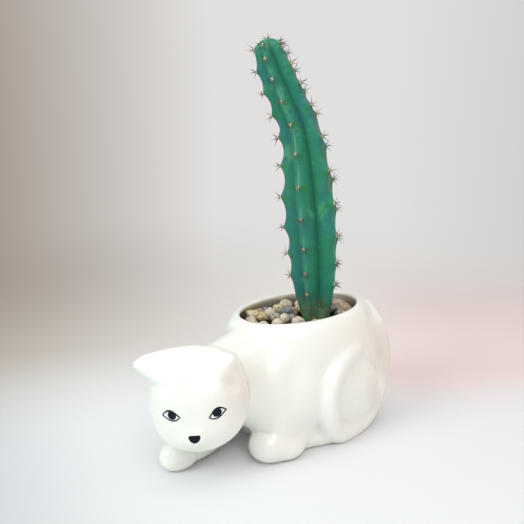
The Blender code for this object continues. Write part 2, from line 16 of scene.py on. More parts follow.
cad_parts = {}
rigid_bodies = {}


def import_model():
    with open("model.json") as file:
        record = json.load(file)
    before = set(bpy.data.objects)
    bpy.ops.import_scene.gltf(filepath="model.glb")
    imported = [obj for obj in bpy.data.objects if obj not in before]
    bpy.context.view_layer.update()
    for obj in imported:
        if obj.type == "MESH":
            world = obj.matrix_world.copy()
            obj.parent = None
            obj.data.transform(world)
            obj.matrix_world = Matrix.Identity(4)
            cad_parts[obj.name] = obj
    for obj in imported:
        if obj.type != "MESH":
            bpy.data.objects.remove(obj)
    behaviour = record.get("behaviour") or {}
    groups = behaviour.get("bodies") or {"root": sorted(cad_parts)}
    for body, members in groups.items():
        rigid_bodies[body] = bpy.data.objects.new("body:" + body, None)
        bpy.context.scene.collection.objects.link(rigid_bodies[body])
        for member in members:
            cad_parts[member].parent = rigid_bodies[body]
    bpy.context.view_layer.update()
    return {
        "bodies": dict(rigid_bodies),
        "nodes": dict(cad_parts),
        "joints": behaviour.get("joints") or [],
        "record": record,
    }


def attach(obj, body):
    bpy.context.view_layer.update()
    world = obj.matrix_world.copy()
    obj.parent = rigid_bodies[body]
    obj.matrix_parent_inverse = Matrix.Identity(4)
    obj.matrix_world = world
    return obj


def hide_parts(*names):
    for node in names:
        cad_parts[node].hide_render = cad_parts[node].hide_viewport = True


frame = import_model()


# ---------------------------------------------------------------- the planter
# One hollow casting of white earthenware, from the paws to the ears, poured as slip in a plaster mould.
# Its eyes and nose are painted on by hand, and a clear glossy glaze covers all but the flat foot. The
# glaze is creamier and darker in the creases, as thicker glaze and painted shade, has patches of painted
# shade and painted pink reflected light, and is stained by the soil.

# The bowl as oval rings from the ground up: height, half width, front, back.
BOWL_RINGS = (
    (-0.004, 0.027, -0.035, 0.035),
    (0.000, 0.031, -0.039, 0.039),
    (0.006, 0.0355, -0.0435, 0.0435),
    (0.014, 0.038, -0.047, 0.047),
    (0.026, 0.0395, -0.049, 0.049),
    (0.038, 0.039, -0.0485, 0.0485),
    (0.046, 0.0375, -0.047, 0.047),
    (0.053, 0.035, -0.0445, 0.0445),
    (0.058, 0.0325, -0.0422, 0.0422),
    (0.0605, 0.0305, -0.0402, 0.0402),
    (0.0612, 0.027, -0.037, 0.037),
)
# The space for the soil, opening out over the rim.
CAVITY_RINGS = (
    (0.005, 0.026, -0.034, 0.034),
    (0.007, 0.030, -0.038, 0.038),
    (0.014, 0.034, -0.043, 0.043),
    (0.026, 0.0353, -0.0448, 0.0448),
    (0.038, 0.0348, -0.0443, 0.0443),
    (0.046, 0.0333, -0.0428, 0.0428),
    (0.053, 0.0303, -0.0398, 0.0398),
    (0.0575, 0.0272, -0.0372, 0.0372),
    (0.0592, 0.0264, -0.0364, 0.0364),
    (0.0602, 0.0268, -0.0368, 0.0368),
    (0.0609, 0.0282, -0.0382, 0.0382),
    (0.066, 0.034, -0.044, 0.044),
)
OVAL_SEGMENTS = 72
RING_STEPS = 4
BALL_STEPS = 6
# Soft masses of the body, as balls along a smooth line: centre, radius.
NECK = (
    (0.002, -0.036, 0.038, 0.021),
    (0.003, -0.050, 0.037, 0.0195),
    (0.004, -0.064, 0.037, 0.0175),
)
LEFT_SHOULDER = (
    (0.0140, -0.036, 0.036, 0.0155),
    (0.0185, -0.039, 0.024, 0.0135),
    (0.0220, -0.041, 0.012, 0.0115),
)
RIGHT_SHOULDER = (
    (-0.017, -0.035, 0.030, 0.0155),
    (-0.012, -0.044, 0.017, 0.011),
    (-0.005, -0.054, 0.009, 0.0085),
    (0.000, -0.066, 0.007, 0.0075),
    (0.0015, -0.076, 0.0065, 0.007),
)
# Ellipsoids: centre, half axes.
CHEST = ((0.005, -0.046, 0.029), (0.022, 0.018, 0.0175))
FLANK = ((0.024, -0.022, 0.024), (0.014, 0.022, 0.020))
FOREARM = ((0.0255, -0.032, 0.006), (0.0085, 0.016, 0.009))
LEFT_PAW = ((0.0246, -0.0450, 0.0072), (0.0105, 0.0125, 0.0090))
WRIST = ((0.0285, -0.0390, 0.0050), (0.0085, 0.0115, 0.0062))
RIGHT_PAW = ((0.0012, -0.0822, 0.0065), (0.0074, 0.0105, 0.0078))
THIGH = ((0.0347, 0.0040, 0.0220), (0.0088, 0.0185, 0.0182))
THIGH_LEAN = math.radians(-16)
RIGHT_THIGH = ((-0.0355, 0.002, 0.022), (0.0075, 0.019, 0.019))
RIGHT_FOOT = ((-0.034, -0.018, 0.006), (0.008, 0.014, 0.0072))
HAUNCH_FOOT = ((0.030, -0.010, 0.004), (0.009, 0.020, 0.007))
# The tail, from its root behind the rim, round the left haunch to its tip: centre, radius.
TAIL = (
    (0.015, 0.0375, 0.055, 0.0045),
    (0.024, 0.0372, 0.044, 0.006),
    (0.029, 0.0350, 0.032, 0.0063),
    (0.032, 0.0288, 0.019, 0.0062),
    (0.0345, 0.0205, 0.011, 0.006),
    (0.0352, 0.0110, 0.0050, 0.006),
    (0.0358, 0.0010, 0.0032, 0.0058),
    (0.0368, -0.0092, 0.0040, 0.0056),
    (0.0380, -0.0165, 0.0105, 0.0054),
    (0.0383, -0.0194, 0.0200, 0.0053),
    (0.0380, -0.0185, 0.0295, 0.0050),
    (0.0373, -0.0130, 0.0370, 0.0047),
    (0.0366, -0.0045, 0.0418, 0.0043),
    (0.0360, 0.0045, 0.0432, 0.0036),
)
# The head, in its own frame: +X the cat's left, -Y the way it faces, +Z up.
HEAD_CENTRE = (0.0082, -0.0748, 0.037)
HEAD_TURN = math.radians(44)
HEAD_NOD = math.radians(5)
HEAD_ROLL = math.radians(-6)
# How far the head's rings lie off its middle, and the rings from chin to crown: height, half width,
# front, back.
HEAD_SIDEWAYS = -0.0009
HEAD_RINGS = (
    (-0.0208, 0.0038, -0.0150, -0.0080),
    (-0.0201, 0.0082, -0.0180, -0.0040),
    (-0.0186, 0.0125, -0.0200, 0.0000),
    (-0.0165, 0.0168, -0.0212, 0.0050),
    (-0.0130, 0.0200, -0.0215, 0.0095),
    (-0.0085, 0.0221, -0.0210, 0.0130),
    (-0.0040, 0.0229, -0.0200, 0.0150),
    (0.0010, 0.0227, -0.0188, 0.0160),
    (0.0060, 0.0217, -0.0170, 0.0160),
    (0.0100, 0.0202, -0.0140, 0.0160),
    (0.0130, 0.0181, -0.0090, 0.0150),
    (0.0155, 0.0144, -0.0020, 0.0140),
    (0.0172, 0.0096, 0.0040, 0.0125),
    (0.0177, 0.0048, 0.0060, 0.0100),
)
MUZZLE = ((-0.0009, -0.0160, -0.0118), (0.0088, 0.0076, 0.0064))
# The right ear, the flat top of the head and the left ear, each as balls that one tight skin is drawn
# over, and the ball that hollows the left ear: place, radius.
RIGHT_BROW, LEFT_BROW = (-0.0135, -0.0070, 0.0102, 0.0040), (0.0095, -0.0075, 0.0100, 0.0038)
RIGHT_CROWN, LEFT_CROWN = (-0.0120, 0.0070, 0.0150, 0.0045), (0.0066, 0.0076, 0.0133, 0.0043)
CAPS = (
    (
        (-0.0263, -0.0026, 0.0169, 0.0022),
        (-0.0222, -0.0004, 0.0177, 0.0031),
        (-0.0185, -0.0030, 0.0095, 0.0035),
        RIGHT_BROW,
        RIGHT_CROWN,
    ),
    (
        RIGHT_BROW,
        (-0.0040, -0.0098, 0.0104, 0.0042),
        LEFT_BROW,
        LEFT_CROWN,
        (-0.0025, 0.0068, 0.0149, 0.0050),
        RIGHT_CROWN,
    ),
    (
        (0.0163, -0.0010, 0.0147, 0.0025),
        (0.0166, 0.0010, 0.0090, 0.0035),
        LEFT_BROW,
        LEFT_CROWN,
    ),
)
EAR_HOLLOW = (0.0203, -0.0126, 0.0100, 0.0077)
# The clay's skin: grid size and rounds of smoothing of the large masses, then of the firmer head, paws
# and tail with them.
SOFT_GRID, SOFT_ROUNDS = 0.0010, 92
FIRM_GRID, FIRM_ROUNDS = 0.0008, 9
# Where a wet sponge has softened the joins further: place, reach, how much. Then the rounds of
# smoothing there, and the least share of them that counts.
SPONGED = (
    (0.0170, -0.0880, 0.0230, 0.0110, 1.0),
    (0.0110, -0.0475, 0.0550, 0.0100, 1.0),
    (0.0345, -0.0465, 0.0070, 0.0070, 1.0),
    (0.0410, 0.0000, 0.0240, 0.0300, 1.0),
    (0.0165, -0.0835, 0.0485, 0.0080, 0.8),
    (0.0254, -0.0711, 0.0472, 0.0060, 1.0),
    (0.0360, 0.0240, 0.0220, 0.0150, 1.0),
    (0.0310, 0.0290, 0.0420, 0.0100, 1.0),
    (0.0340, -0.0340, 0.0080, 0.0080, 1.0),
    (0.0400, -0.0245, 0.0200, 0.0070, 1.0),
    (0.0390, -0.0200, 0.0080, 0.0070, 1.0),
    (0.0390, -0.0200, 0.0320, 0.0070, 1.0),
    (0.0400, 0.0060, 0.0380, 0.0080, 1.0),
    (0.0340, 0.0240, 0.0300, 0.0080, 1.0),
    (0.0010, -0.0770, 0.0530, 0.0190, 0.16),
    (-0.0065, -0.0935, 0.0535, 0.0070, 0.22),
    (0.0415, 0.0160, 0.0220, 0.0120, 1.0),
    (0.0360, 0.0330, 0.0450, 0.0110, 1.0),
    (0.0335, 0.0245, 0.0360, 0.0110, 1.0),
    (0.0290, 0.0275, 0.0500, 0.0080, 1.0),
    (0.0406, 0.0150, 0.0210, 0.0100, 1.0),
)
SPONGE_ROUNDS = 100
LEAST_SHARE = 0.02
# How far the mouth stands up at its middle, its slope, the way it rises, and the heights between which
# that grows.
MOUTH_LIFT, MOUTH_SLOPE, MOUTH_WAY, MOUTH_HEIGHTS = 0.0011, 0.045, (0.695, 0.719), (0.030, 0.058)
# The lip's round edge: where it begins, how near the cut it is smoothed, and in how many rounds.
LIP_START, LIP_REACH, LIP_ROUNDS = 0.0585, 0.0012, 3
# What counts as the inside: how far out as a share of the cavity, and between which heights.
INSIDE_REACH, INSIDE_HEIGHTS = 1.01, (0.0035, 0.0598)
# Rounds of smoothing whose effect tells a crease from an edge, and how far it moves the skin there.
CREASE_ROUNDS = 24
CREASE_DEPTH = 0.0003


def through(rows, steps):
    """Rows on a smooth curve through the given rows, so many from each to the next."""
    ends = [rows[0], *rows, rows[-1]]
    for a, b, c, d in zip(ends, ends[1:], ends[2:], ends[3:]):
        for i in range(steps):
            t = i / steps
            yield tuple(
                q + 0.5 * t * (r - p + t * (2 * p - 5 * q + 4 * r - s + t * (3 * (q - r) + s - p)))
                for p, q, r, s in zip(a, b, c, d)
            )
    yield tuple(rows[-1])


def oval_loft(bm, rings, frame=Matrix()):
    """Adds a closed solid through oval rings, each a height, a half width, a front and a back."""
    loops = []
    for height, wide, front, back in rings:
        centre = Matrix.Translation((0, (front + back) / 2, height))
        place = frame @ centre @ Matrix.Diagonal((wide, (back - front) / 2, 1, 1))
        bmesh.ops.create_circle(bm, segments=OVAL_SEGMENTS, radius=1, matrix=place)
        loops.append(list(bm.edges)[-OVAL_SEGMENTS:])
    for lower, upper in zip(loops, loops[1:]):
        bmesh.ops.bridge_loops(bm, edges=lower + upper)
    for end in (loops[0], loops[-1]):
        bmesh.ops.edgeloop_fill(bm, edges=end)


def ellipsoid(bm, shape, frame=Matrix()):
    """Adds an ellipsoid given by its centre and half axes, in a frame."""
    centre, half = shape
    place = frame @ Matrix.Translation(centre) @ Matrix.Diagonal((*half, 1))
    bmesh.ops.create_icosphere(bm, subdivisions=4, radius=1, matrix=place)


def limb(bm, rows):
    """Adds balls close together along a smooth line, which read as one limb."""
    for x, y, z, radius in through(rows, BALL_STEPS):
        place = Matrix.Translation((x, y, z))
        bmesh.ops.create_icosphere(bm, subdivisions=3, radius=radius, matrix=place)


def wrapped(bm, balls, frame):
    """Adds the tight skin drawn over a few balls."""
    shape = bmesh.new()
    for *middle, radius in balls:
        place = frame @ Matrix.Translation(middle)
        bmesh.ops.create_icosphere(shape, subdivisions=3, radius=radius, matrix=place)
    spots = [vert.co.copy() for vert in shape.verts]
    shape.free()
    bmesh.ops.convex_hull(bm, input=[bm.verts.new(spot) for spot in spots])


def piece(name, bm):
    """A named object made from a bmesh, with its faces turned outward and smooth."""
    bmesh.ops.recalc_face_normals(bm, faces=bm.faces)
    mesh = bpy.data.meshes.new(name)
    bm.to_mesh(mesh)
    bm.free()
    mesh.shade_smooth()
    obj = bpy.data.objects.new(name, mesh)
    bpy.context.scene.collection.objects.link(obj)
    return obj


def skin(obj, grid):
    """Gives the object one closed skin over all its shapes."""
    closed = obj.modifiers.new("skin", "REMESH")
    closed.mode = "VOXEL"
    closed.voxel_size = grid


def soften(obj, rounds, group=""):
    """Smooths the object, or a group of its points."""
    smooth = obj.modifiers.new("soften", "SMOOTH")
    smooth.factor = 0.5
    smooth.iterations = rounds
    smooth.vertex_group = group


def cut(obj, bm):
    """Cuts the object by a solid, and returns the cutter."""
    tool = piece("cutter", bm)
    boolean = obj.modifiers.new("cut", "BOOLEAN")
    boolean.operation = "DIFFERENCE"
    boolean.solver = "MANIFOLD"
    boolean.object = tool
    return tool


def settled(obj, *cutters):
    """Applies the object's modifiers, and removes what cut it."""
    graph = bpy.context.evaluated_depsgraph_get()
    mesh = bpy.data.meshes.new_from_object(obj.evaluated_get(graph))
    obj.modifiers.clear()
    obj.data = mesh
    for tool in cutters:
        bpy.data.objects.remove(tool)
    return obj


def spots_of(mesh):
    """The mesh's points as an array."""
    spots = np.empty(len(mesh.vertices) * 3)
    mesh.vertices.foreach_get("co", spots)
    return spots.reshape(-1, 3)


def note_on(mesh, name, values):
    """Writes one value for each point of the mesh, which a finish can read."""
    mesh.attributes.new(name, "FLOAT", "POINT").data.foreach_set("value", np.asarray(values, np.float32))


def soften_where(obj, weights, rounds):
    """Smooths the object by a weight for each of its points."""
    group = obj.vertex_groups.new(name="soft")
    for i in np.flatnonzero(weights > LEAST_SHARE):
        group.add([int(i)], float(weights[i]), "REPLACE")
    soften(obj, rounds, "soft")
    settled(obj)
    obj.vertex_groups.clear()


def creases(obj, rounds, depth):
    """How deep in a crease each point lies: 1 deep in it, 0 on a flat, below 0 on an edge."""
    soften(obj, rounds)
    graph = bpy.context.evaluated_depsgraph_get()
    moved = spots_of(obj.evaluated_get(graph).data) - spots_of(obj.data)
    obj.modifiers.clear()
    normals = np.empty(len(obj.data.vertices) * 3)
    obj.data.vertex_normals.foreach_get("vector", normals)
    return np.einsum("ij,ij->i", moved, normals.reshape(-1, 3)) / depth


body = bmesh.new()
oval_loft(body, through(BOWL_RINGS, RING_STEPS))
for row in (NECK, LEFT_SHOULDER, RIGHT_SHOULDER):
    limb(body, row)
for mass in (CHEST, FLANK, FOREARM, RIGHT_THIGH, RIGHT_FOOT, HAUNCH_FOOT):
    ellipsoid(body, mass)
masses = piece("masses", body)
skin(masses, SOFT_GRID)
soften(masses, SOFT_ROUNDS)
settled(masses)

head = (
    Matrix.Translation(HEAD_CENTRE)
    @ Matrix.Rotation(HEAD_TURN, 4, "Z")
    @ Matrix.Rotation(HEAD_NOD, 4, "X")
    @ Matrix.Rotation(HEAD_ROLL, 4, "Y")
)
cast = bmesh.new()
cast.from_mesh(masses.data)
bpy.data.objects.remove(masses)
oval_loft(cast, through(HEAD_RINGS, RING_STEPS), head @ Matrix.Translation((HEAD_SIDEWAYS, 0, 0)))
ellipsoid(cast, MUZZLE, head)
for balls in CAPS:
    wrapped(cast, balls, head)
for mass in (LEFT_PAW, WRIST, RIGHT_PAW):
    ellipsoid(cast, mass)
centre, half = THIGH
ellipsoid(cast, ((0, 0, 0), half), Matrix.Translation(centre) @ Matrix.Rotation(THIGH_LEAN, 4, "X"))
limb(cast, TAIL)
planter = piece("planter", cast)
skin(planter, FIRM_GRID)
hollows = bmesh.new()
*middle, radius = EAR_HOLLOW
ellipsoid(hollows, (middle, (radius,) * 3), head)
ear_tool = cut(planter, hollows)
soften(planter, FIRM_ROUNDS)
settled(planter, ear_tool)

spots = spots_of(planter.data)
weights = np.zeros(len(spots))
for *centre, reach, share in SPONGED:
    away = np.linalg.norm(spots - np.array(centre), axis=1)
    weights = np.maximum(weights, share * np.exp(-((away / reach) ** 2)))
soften_where(planter, weights, SPONGE_ROUNDS)
note_on(planter.data, "crease", creases(planter, CREASE_ROUNDS, CREASE_DEPTH))

# The mouth and the space for the soil, cut out last, with a lip rounded by hand.
cavity = bmesh.new()
oval_loft(cavity, through(CAVITY_RINGS, RING_STEPS))
settled(planter, cut(planter, cavity))
spots = spots_of(planter.data)
rings = np.array(CAVITY_RINGS)
wide = np.interp(spots[:, 2], rings[:, 0], rings[:, 1])
long = np.interp(spots[:, 2], rings[:, 0], rings[:, 3])
within = np.hypot(spots[:, 0] / wide, spots[:, 1] / long)
off_wall = np.abs(within - 1) * wide
lip = (spots[:, 2] > LIP_START) & (off_wall < LIP_REACH)
soften_where(planter, lip.astype(float), LIP_ROUNDS)
low, high = INSIDE_HEIGHTS
note_on(planter.data, "inside", (within < INSIDE_REACH) & (spots[:, 2] > low) & (spots[:, 2] < high))

# The casting sagged a little toward the head as it dried, so the mouth stands highest at the haunch.
rise = np.clip((spots[:, 2] - MOUTH_HEIGHTS[0]) / (MOUTH_HEIGHTS[1] - MOUTH_HEIGHTS[0]), 0, 1)
lift = np.maximum(0, MOUTH_LIFT + MOUTH_SLOPE * (spots[:, :2] @ np.array(MOUTH_WAY)))
spots[:, 2] += lift * rise * rise * (3 - 2 * rise)
planter.data.vertices.foreach_set("co", spots.ravel())

# The flat foot, ground off level.
cast = bmesh.new()
cast.from_mesh(planter.data)
sheet = cast.verts[:] + cast.edges[:] + cast.faces[:]
made = bmesh.ops.bisect_plane(
    cast, geom=sheet, plane_co=(0, 0, 0), plane_no=(0, 0, -1), clear_outer=True
)
foot = [item for item in made["geom_cut"] if isinstance(item, bmesh.types.BMEdge)]
bmesh.ops.holes_fill(cast, edges=foot)
bmesh.ops.triangulate(cast, faces=[face for face in cast.faces if len(face.verts) > 4])
cast.to_mesh(planter.data)
cast.free()
planter.data.shade_smooth()


class Finish:
    """A piece's finish: its shader, and the patterns that feed it."""

    def __init__(self, name):
        self.material = bpy.data.materials.new(name)
        self.material.use_nodes = True
        self.tree = self.material.node_tree
        self.shader = self.tree.nodes["Principled BSDF"]
        self.spot = self.node("ShaderNodeTexCoord").outputs["Object"]

    def node(self, kind, **settings):
        made = self.tree.nodes.new(kind)
        for name, value in settings.items():
            setattr(made, name, value)
        return made

    def feed(self, socket, value):
        """Links a pattern to a socket, or sets a plain value on it."""
        if isinstance(value, bpy.types.NodeSocket):
            self.tree.links.new(value, socket)
        elif isinstance(value, tuple) and len(value) == 3 and socket.type == "RGBA":
            socket.default_value = (*value, 1)
        elif value is not None:
            socket.default_value = value

    def set(self, **values):
        """Sets the shader's sockets, by their names with low lines for blanks."""
        for name, value in values.items():
            self.feed(self.shader.inputs[name.replace("_", " ").replace("Ior", "IOR")], value)

    def sum(self, operation, *values):
        """The outcome of one reckoning step."""
        made = self.node("ShaderNodeMath", operation=operation)
        for socket, value in zip(made.inputs, values):
            self.feed(socket, value)
        return made.outputs[0]

    def between(self, value, low, high, start=0.0, end=1.0):
        """A soft step of the value from low to high."""
        made = self.node("ShaderNodeMapRange", interpolation_type="SMOOTHSTEP")
        names = ("Value", "From Min", "From Max", "To Min", "To Max")
        for name, given in zip(names, (value, low, high, start, end)):
            self.feed(made.inputs[name], given)
        return made.outputs[0]

    def length(self, first, second):
        """How far out two coordinates reach together."""
        squares = [self.sum("MULTIPLY", value, value) for value in (first, second)]
        return self.sum("SQRT", self.sum("ADD", *squares))

    def noise(self, size, detail=2, roughness=0.5, spot=None, warp=0.0):
        """Cloudy noise with patches of about this size in metres."""
        made = self.node("ShaderNodeTexNoise")
        self.feed(made.inputs["Vector"], spot or self.spot)
        names = ("Scale", "Detail", "Roughness", "Distortion")
        for name, given in zip(names, (1 / size, detail, roughness, warp)):
            made.inputs[name].default_value = given
        return made.outputs["Fac"]

    def cells(self, size):
        """How far off the middle of a cell of about this size in metres."""
        made = self.node("ShaderNodeTexVoronoi", feature="F1")
        self.feed(made.inputs["Vector"], self.spot)
        made.inputs["Scale"].default_value = 1 / size
        return made.outputs["Distance"]

    def placed(self, place, turn=(0, 0, 0), size=(1, 1, 1), spot=None):
        """Coordinates in a frame of their own."""
        made = self.node("ShaderNodeMapping", vector_type="TEXTURE")
        self.feed(made.inputs["Vector"], spot or self.spot)
        for name, given in (("Location", place), ("Rotation", turn), ("Scale", size)):
            made.inputs[name].default_value = given
        return made.outputs[0]

    def parts(self, spot=None):
        """The three coordinates of a spot."""
        made = self.node("ShaderNodeSeparateXYZ")
        self.feed(made.inputs[0], spot or self.spot)
        return made.outputs[0], made.outputs[1], made.outputs[2]

    def noted(self, name):
        """A value written on the mesh."""
        return self.node("ShaderNodeAttribute", attribute_name=name).outputs["Fac"]

    def mix(self, share, first, second):
        """A colour between two."""
        made = self.node("ShaderNodeMix", data_type="RGBA")
        for number, value in ((0, share), (6, first), (7, second)):
            self.feed(made.inputs[number], value)
        return made.outputs[2]

    def relief(self, height, depth, under=None):
        """Bumps of this depth in metres."""
        made = self.node("ShaderNodeBump")
        made.inputs["Distance"].default_value = depth
        self.feed(made.inputs["Height"], height)
        self.feed(made.inputs["Normal"], under)
        return made.outputs[0]


# The painted eyes, in the head's frame in millimetres: inner and outer corner as left and up, how far
# the lids arch up and down, how much their arches lean outward, and the pupil's centre and half sizes in
# the eye's own frame. The first is on the cat's right. Then the pupil's soft edge.
EYES = (
    ((-7.1, -1.9), (-14.3, -1.4), 1.95, 1.35, 0.25, -0.3, (-0.40, 0.55), (2.00, 1.85)),
    ((6.3, -3.0), (12.7, -1.2), 1.90, 1.15, 0.25, -0.4, (0.00, 0.62), (1.95, 1.75)),
)
PUPIL_EDGE = 0.95
# The brush's line over and under an eye, and its soft edge.
UPPER_LINE, LOWER_LINE, INK_EDGE = 0.85, 0.68, 0.08
# The nose, round below and flatter above: centre, half width, half height, the height of its flat top,
# how narrow it is at its middle and how much it narrows downward, and the softness of its corners.
NOSE, NOSE_WIDE, NOSE_HIGH, NOSE_TOP = (-1.0, -10.25), 2.62, 1.95, 1.30
NOSE_NARROW, NOSE_TAPER, NOSE_SOFT = 1.05, 0.13, 0.35
# How far in front of the head's centre the face begins.
FACE_FRONT = -8
MILLIMETRE = 0.001
INK = (0.004, 0.008, 0.014)
EYE_WHITE = (0.80, 0.83, 0.84)
GLAZE_WHITE = (0.88, 0.90, 0.842)
GLAZE_POOLED_AND_SHADED = (0.70, 0.69, 0.61)
GLAZE_THIN = (0.89, 0.88, 0.83)
GLAZE_INSIDE = (0.93, 0.91, 0.80)
SOIL_STAIN = (0.62, 0.53, 0.40)
# Clouds in the glaze, and between which sums of cloud and crease it is darker, as thicker glaze and
# painted shade in the creases, and thinned: size, share of the cloud, limits.
CLOUD_SIZE = 0.030
POOL_AND_SHADE_LIMITS, THINNED = (0.25, 0.2, 1.4), (0.3, 0.7, 2.6)
# Specks in the glaze: spacing, sizes from edge to core, strength.
SPECK_SPACING, SPECK_EDGE, SPECK_CORE, SPECK_STRENGTH = 0.006, 0.045, 0.02, 0.5
# The soil's stain on the wall: the heights between which it begins, its patches, and their limits.
STAIN_HEIGHTS, STAIN_PATCH, STAIN_LIMITS = (0.0540, 0.0495), 0.007, (-0.45, 0.55)
# The foot's bare clay begins between these heights.
BARE_HEIGHTS = (0.0005, 0.0003)
# The glaze's slow ripple and fine orange-peel: size, depth. Then its polish, and where it is duller:
# bare or inside.
RIPPLE, PEEL = (0.016, 0.00022), (0.0011, 0.000012)
POLISH, BARE_ROUGHNESS, INSIDE_DULLNESS = 0.11, 0.85, 0.25
# The clear coat and the gloss under it, on the glaze and over the paint.
COAT, COAT_ROUGHNESS, GLOSS = (0.5, 0.15), 0.04, (0.5, 0.2)
# Patches of painted shade and painted pink reflected light, by the left ear and along the tail: place,
# turn, half sizes, how strongly.
PAINTED_SHADE_PATCHES = (
    ((0.0250, -0.0705, 0.0455), (-23, 0, -14), (0.0044, 0.0052, 0.0020), 0.14),
    ((0.0262, -0.0670, 0.0400), (0, 0, -14), (0.0100, 0.0120, 0.0160), 0.17),
    ((0.0440, 0.0180, 0.0150), (40, 0, 15), (0.0090, 0.0090, 0.0230), 0.25),
    ((0.0360, 0.0350, 0.0350), (0, 0, 30), (0.0110, 0.0110, 0.0320), 0.32),
)
PAINTED_SHADE_TINT, PAINTED_SHADE_EDGE = (0.60, 0.43, 0.36), 1.4
BARE_CLAY = (0.80, 0.73, 0.64)


def eye_masks(finish, face, eye):
    """Two masks of an eye: its inked lines and pupil, and the white inside."""
    inner, outer, up, down, up_lean, down_lean, pupil, pupil_half = eye
    wide = math.dist(inner, outer) / 2
    side = 1 if outer[0] > 0 else -1
    tilt = math.atan2(outer[1] - inner[1], abs(outer[0] - inner[0]))
    middle = ((inner[0] + outer[0]) / 2, 0, (inner[1] + outer[1]) / 2)
    own = finish.placed(middle, (0, -side * tilt, 0), (side, 1, 1), spot=face)
    x, _, z = finish.parts(own)
    share = finish.sum("DIVIDE", x, wide)
    arch = finish.sum("SUBTRACT", 1.0, finish.sum("MULTIPLY", share, share))
    lids = []
    for height, lean in ((up, up_lean), (-down, down_lean)):
        skew = finish.sum("MULTIPLY_ADD", share, lean, 1.0)
        lids.append(finish.sum("MULTIPLY", finish.sum("MULTIPLY", arch, skew), height))
    under_lid = finish.sum("SUBTRACT", lids[0], z)
    over_lid = finish.sum("SUBTRACT", z, lids[1])
    opening = finish.between(finish.sum("MINIMUM", under_lid, over_lid), 0, INK_EDGE)
    under_line = finish.sum("ADD", under_lid, UPPER_LINE)
    over_line = finish.sum("ADD", over_lid, LOWER_LINE)
    whole = finish.between(finish.sum("MINIMUM", under_line, over_line), 0, INK_EDGE)
    across = finish.sum("DIVIDE", finish.sum("SUBTRACT", x, pupil[0]), pupil_half[0])
    along = finish.sum("DIVIDE", finish.sum("SUBTRACT", z, pupil[1]), pupil_half[1])
    black = finish.between(finish.length(across, along), 1.0, PUPIL_EDGE)
    lines = finish.sum("SUBTRACT", 1.0, opening)
    ink = finish.sum("MULTIPLY", whole, finish.sum("MAXIMUM", lines, black))
    return ink, whole


def nose_mask(finish, face):
    """The mask of the painted nose."""
    u, _, v = finish.parts(face)
    height = finish.sum("SUBTRACT", v, NOSE[1])
    taper = finish.sum("MULTIPLY_ADD", height, -NOSE_TAPER, NOSE_NARROW)
    sideways = finish.sum("MULTIPLY", finish.sum("SUBTRACT", u, NOSE[0]), taper)
    across = finish.sum("DIVIDE", sideways, NOSE_WIDE)
    along = finish.sum("DIVIDE", height, NOSE_HIGH)
    round_off = finish.sum("SUBTRACT", finish.length(across, along), 1.0)
    top = finish.sum("DIVIDE", finish.sum("SUBTRACT", height, NOSE_TOP), NOSE_HIGH)
    return finish.between(finish.sum("SMOOTH_MAX", round_off, top, NOSE_SOFT), INK_EDGE / NOSE_HIGH, 0)


glaze = Finish("white_glaze")
crease, walled = glaze.noted("crease"), glaze.noted("inside")
_, _, level = glaze.parts()
cloud = glaze.noise(CLOUD_SIZE, detail=3)
# Darker in the creases, as thicker glaze and painted shade.
share, low, high = POOL_AND_SHADE_LIMITS
pooled_and_shaded = glaze.between(glaze.sum("ADD", crease, glaze.sum("MULTIPLY", cloud, share)), low, high)
share, low, high = THINNED
thinned = glaze.between(glaze.sum("SUBTRACT", glaze.sum("MULTIPLY", cloud, share), crease), low, high)
white = glaze.mix(pooled_and_shaded, GLAZE_WHITE, GLAZE_POOLED_AND_SHADED)
white = glaze.mix(thinned, white, GLAZE_THIN)
# Painted shade and painted pink reflected light, patch by patch.
for place, turn, sizes, strength in PAINTED_SHADE_PATCHES:
    x, y, z = glaze.parts(glaze.placed(place, tuple(math.radians(angle) for angle in turn), sizes))
    off = glaze.sum("MULTIPLY_ADD", z, z, glaze.sum("MULTIPLY_ADD", y, y, glaze.sum("MULTIPLY", x, x)))
    white = glaze.mix(glaze.between(off, PAINTED_SHADE_EDGE, 0.0, 0.0, strength), white, PAINTED_SHADE_TINT)
speck = glaze.between(glaze.cells(SPECK_SPACING), SPECK_EDGE, SPECK_CORE)
white = glaze.mix(glaze.sum("MULTIPLY", speck, SPECK_STRENGTH), white, SOIL_STAIN)
patches = glaze.noise(STAIN_PATCH, detail=5)
stain = glaze.sum("SUBTRACT", glaze.between(level, *STAIN_HEIGHTS), patches)
stained = glaze.mix(glaze.between(stain, *STAIN_LIMITS), GLAZE_INSIDE, SOIL_STAIN)
white = glaze.mix(walled, white, stained)

face = glaze.placed(HEAD_CENTRE, tuple(head.to_euler()), (MILLIMETRE,) * 3)
_, depth, _ = glaze.parts(face)
front = glaze.between(depth, FACE_FRONT, FACE_FRONT - 1)
inked = nose_mask(glaze, face)
for eye in EYES:
    ink, whole = eye_masks(glaze, face, eye)
    white = glaze.mix(glaze.sum("MULTIPLY", whole, front), white, EYE_WHITE)
    inked = glaze.sum("MAXIMUM", inked, ink)
inked = glaze.sum("MULTIPLY", inked, front)
white = glaze.mix(inked, white, INK)

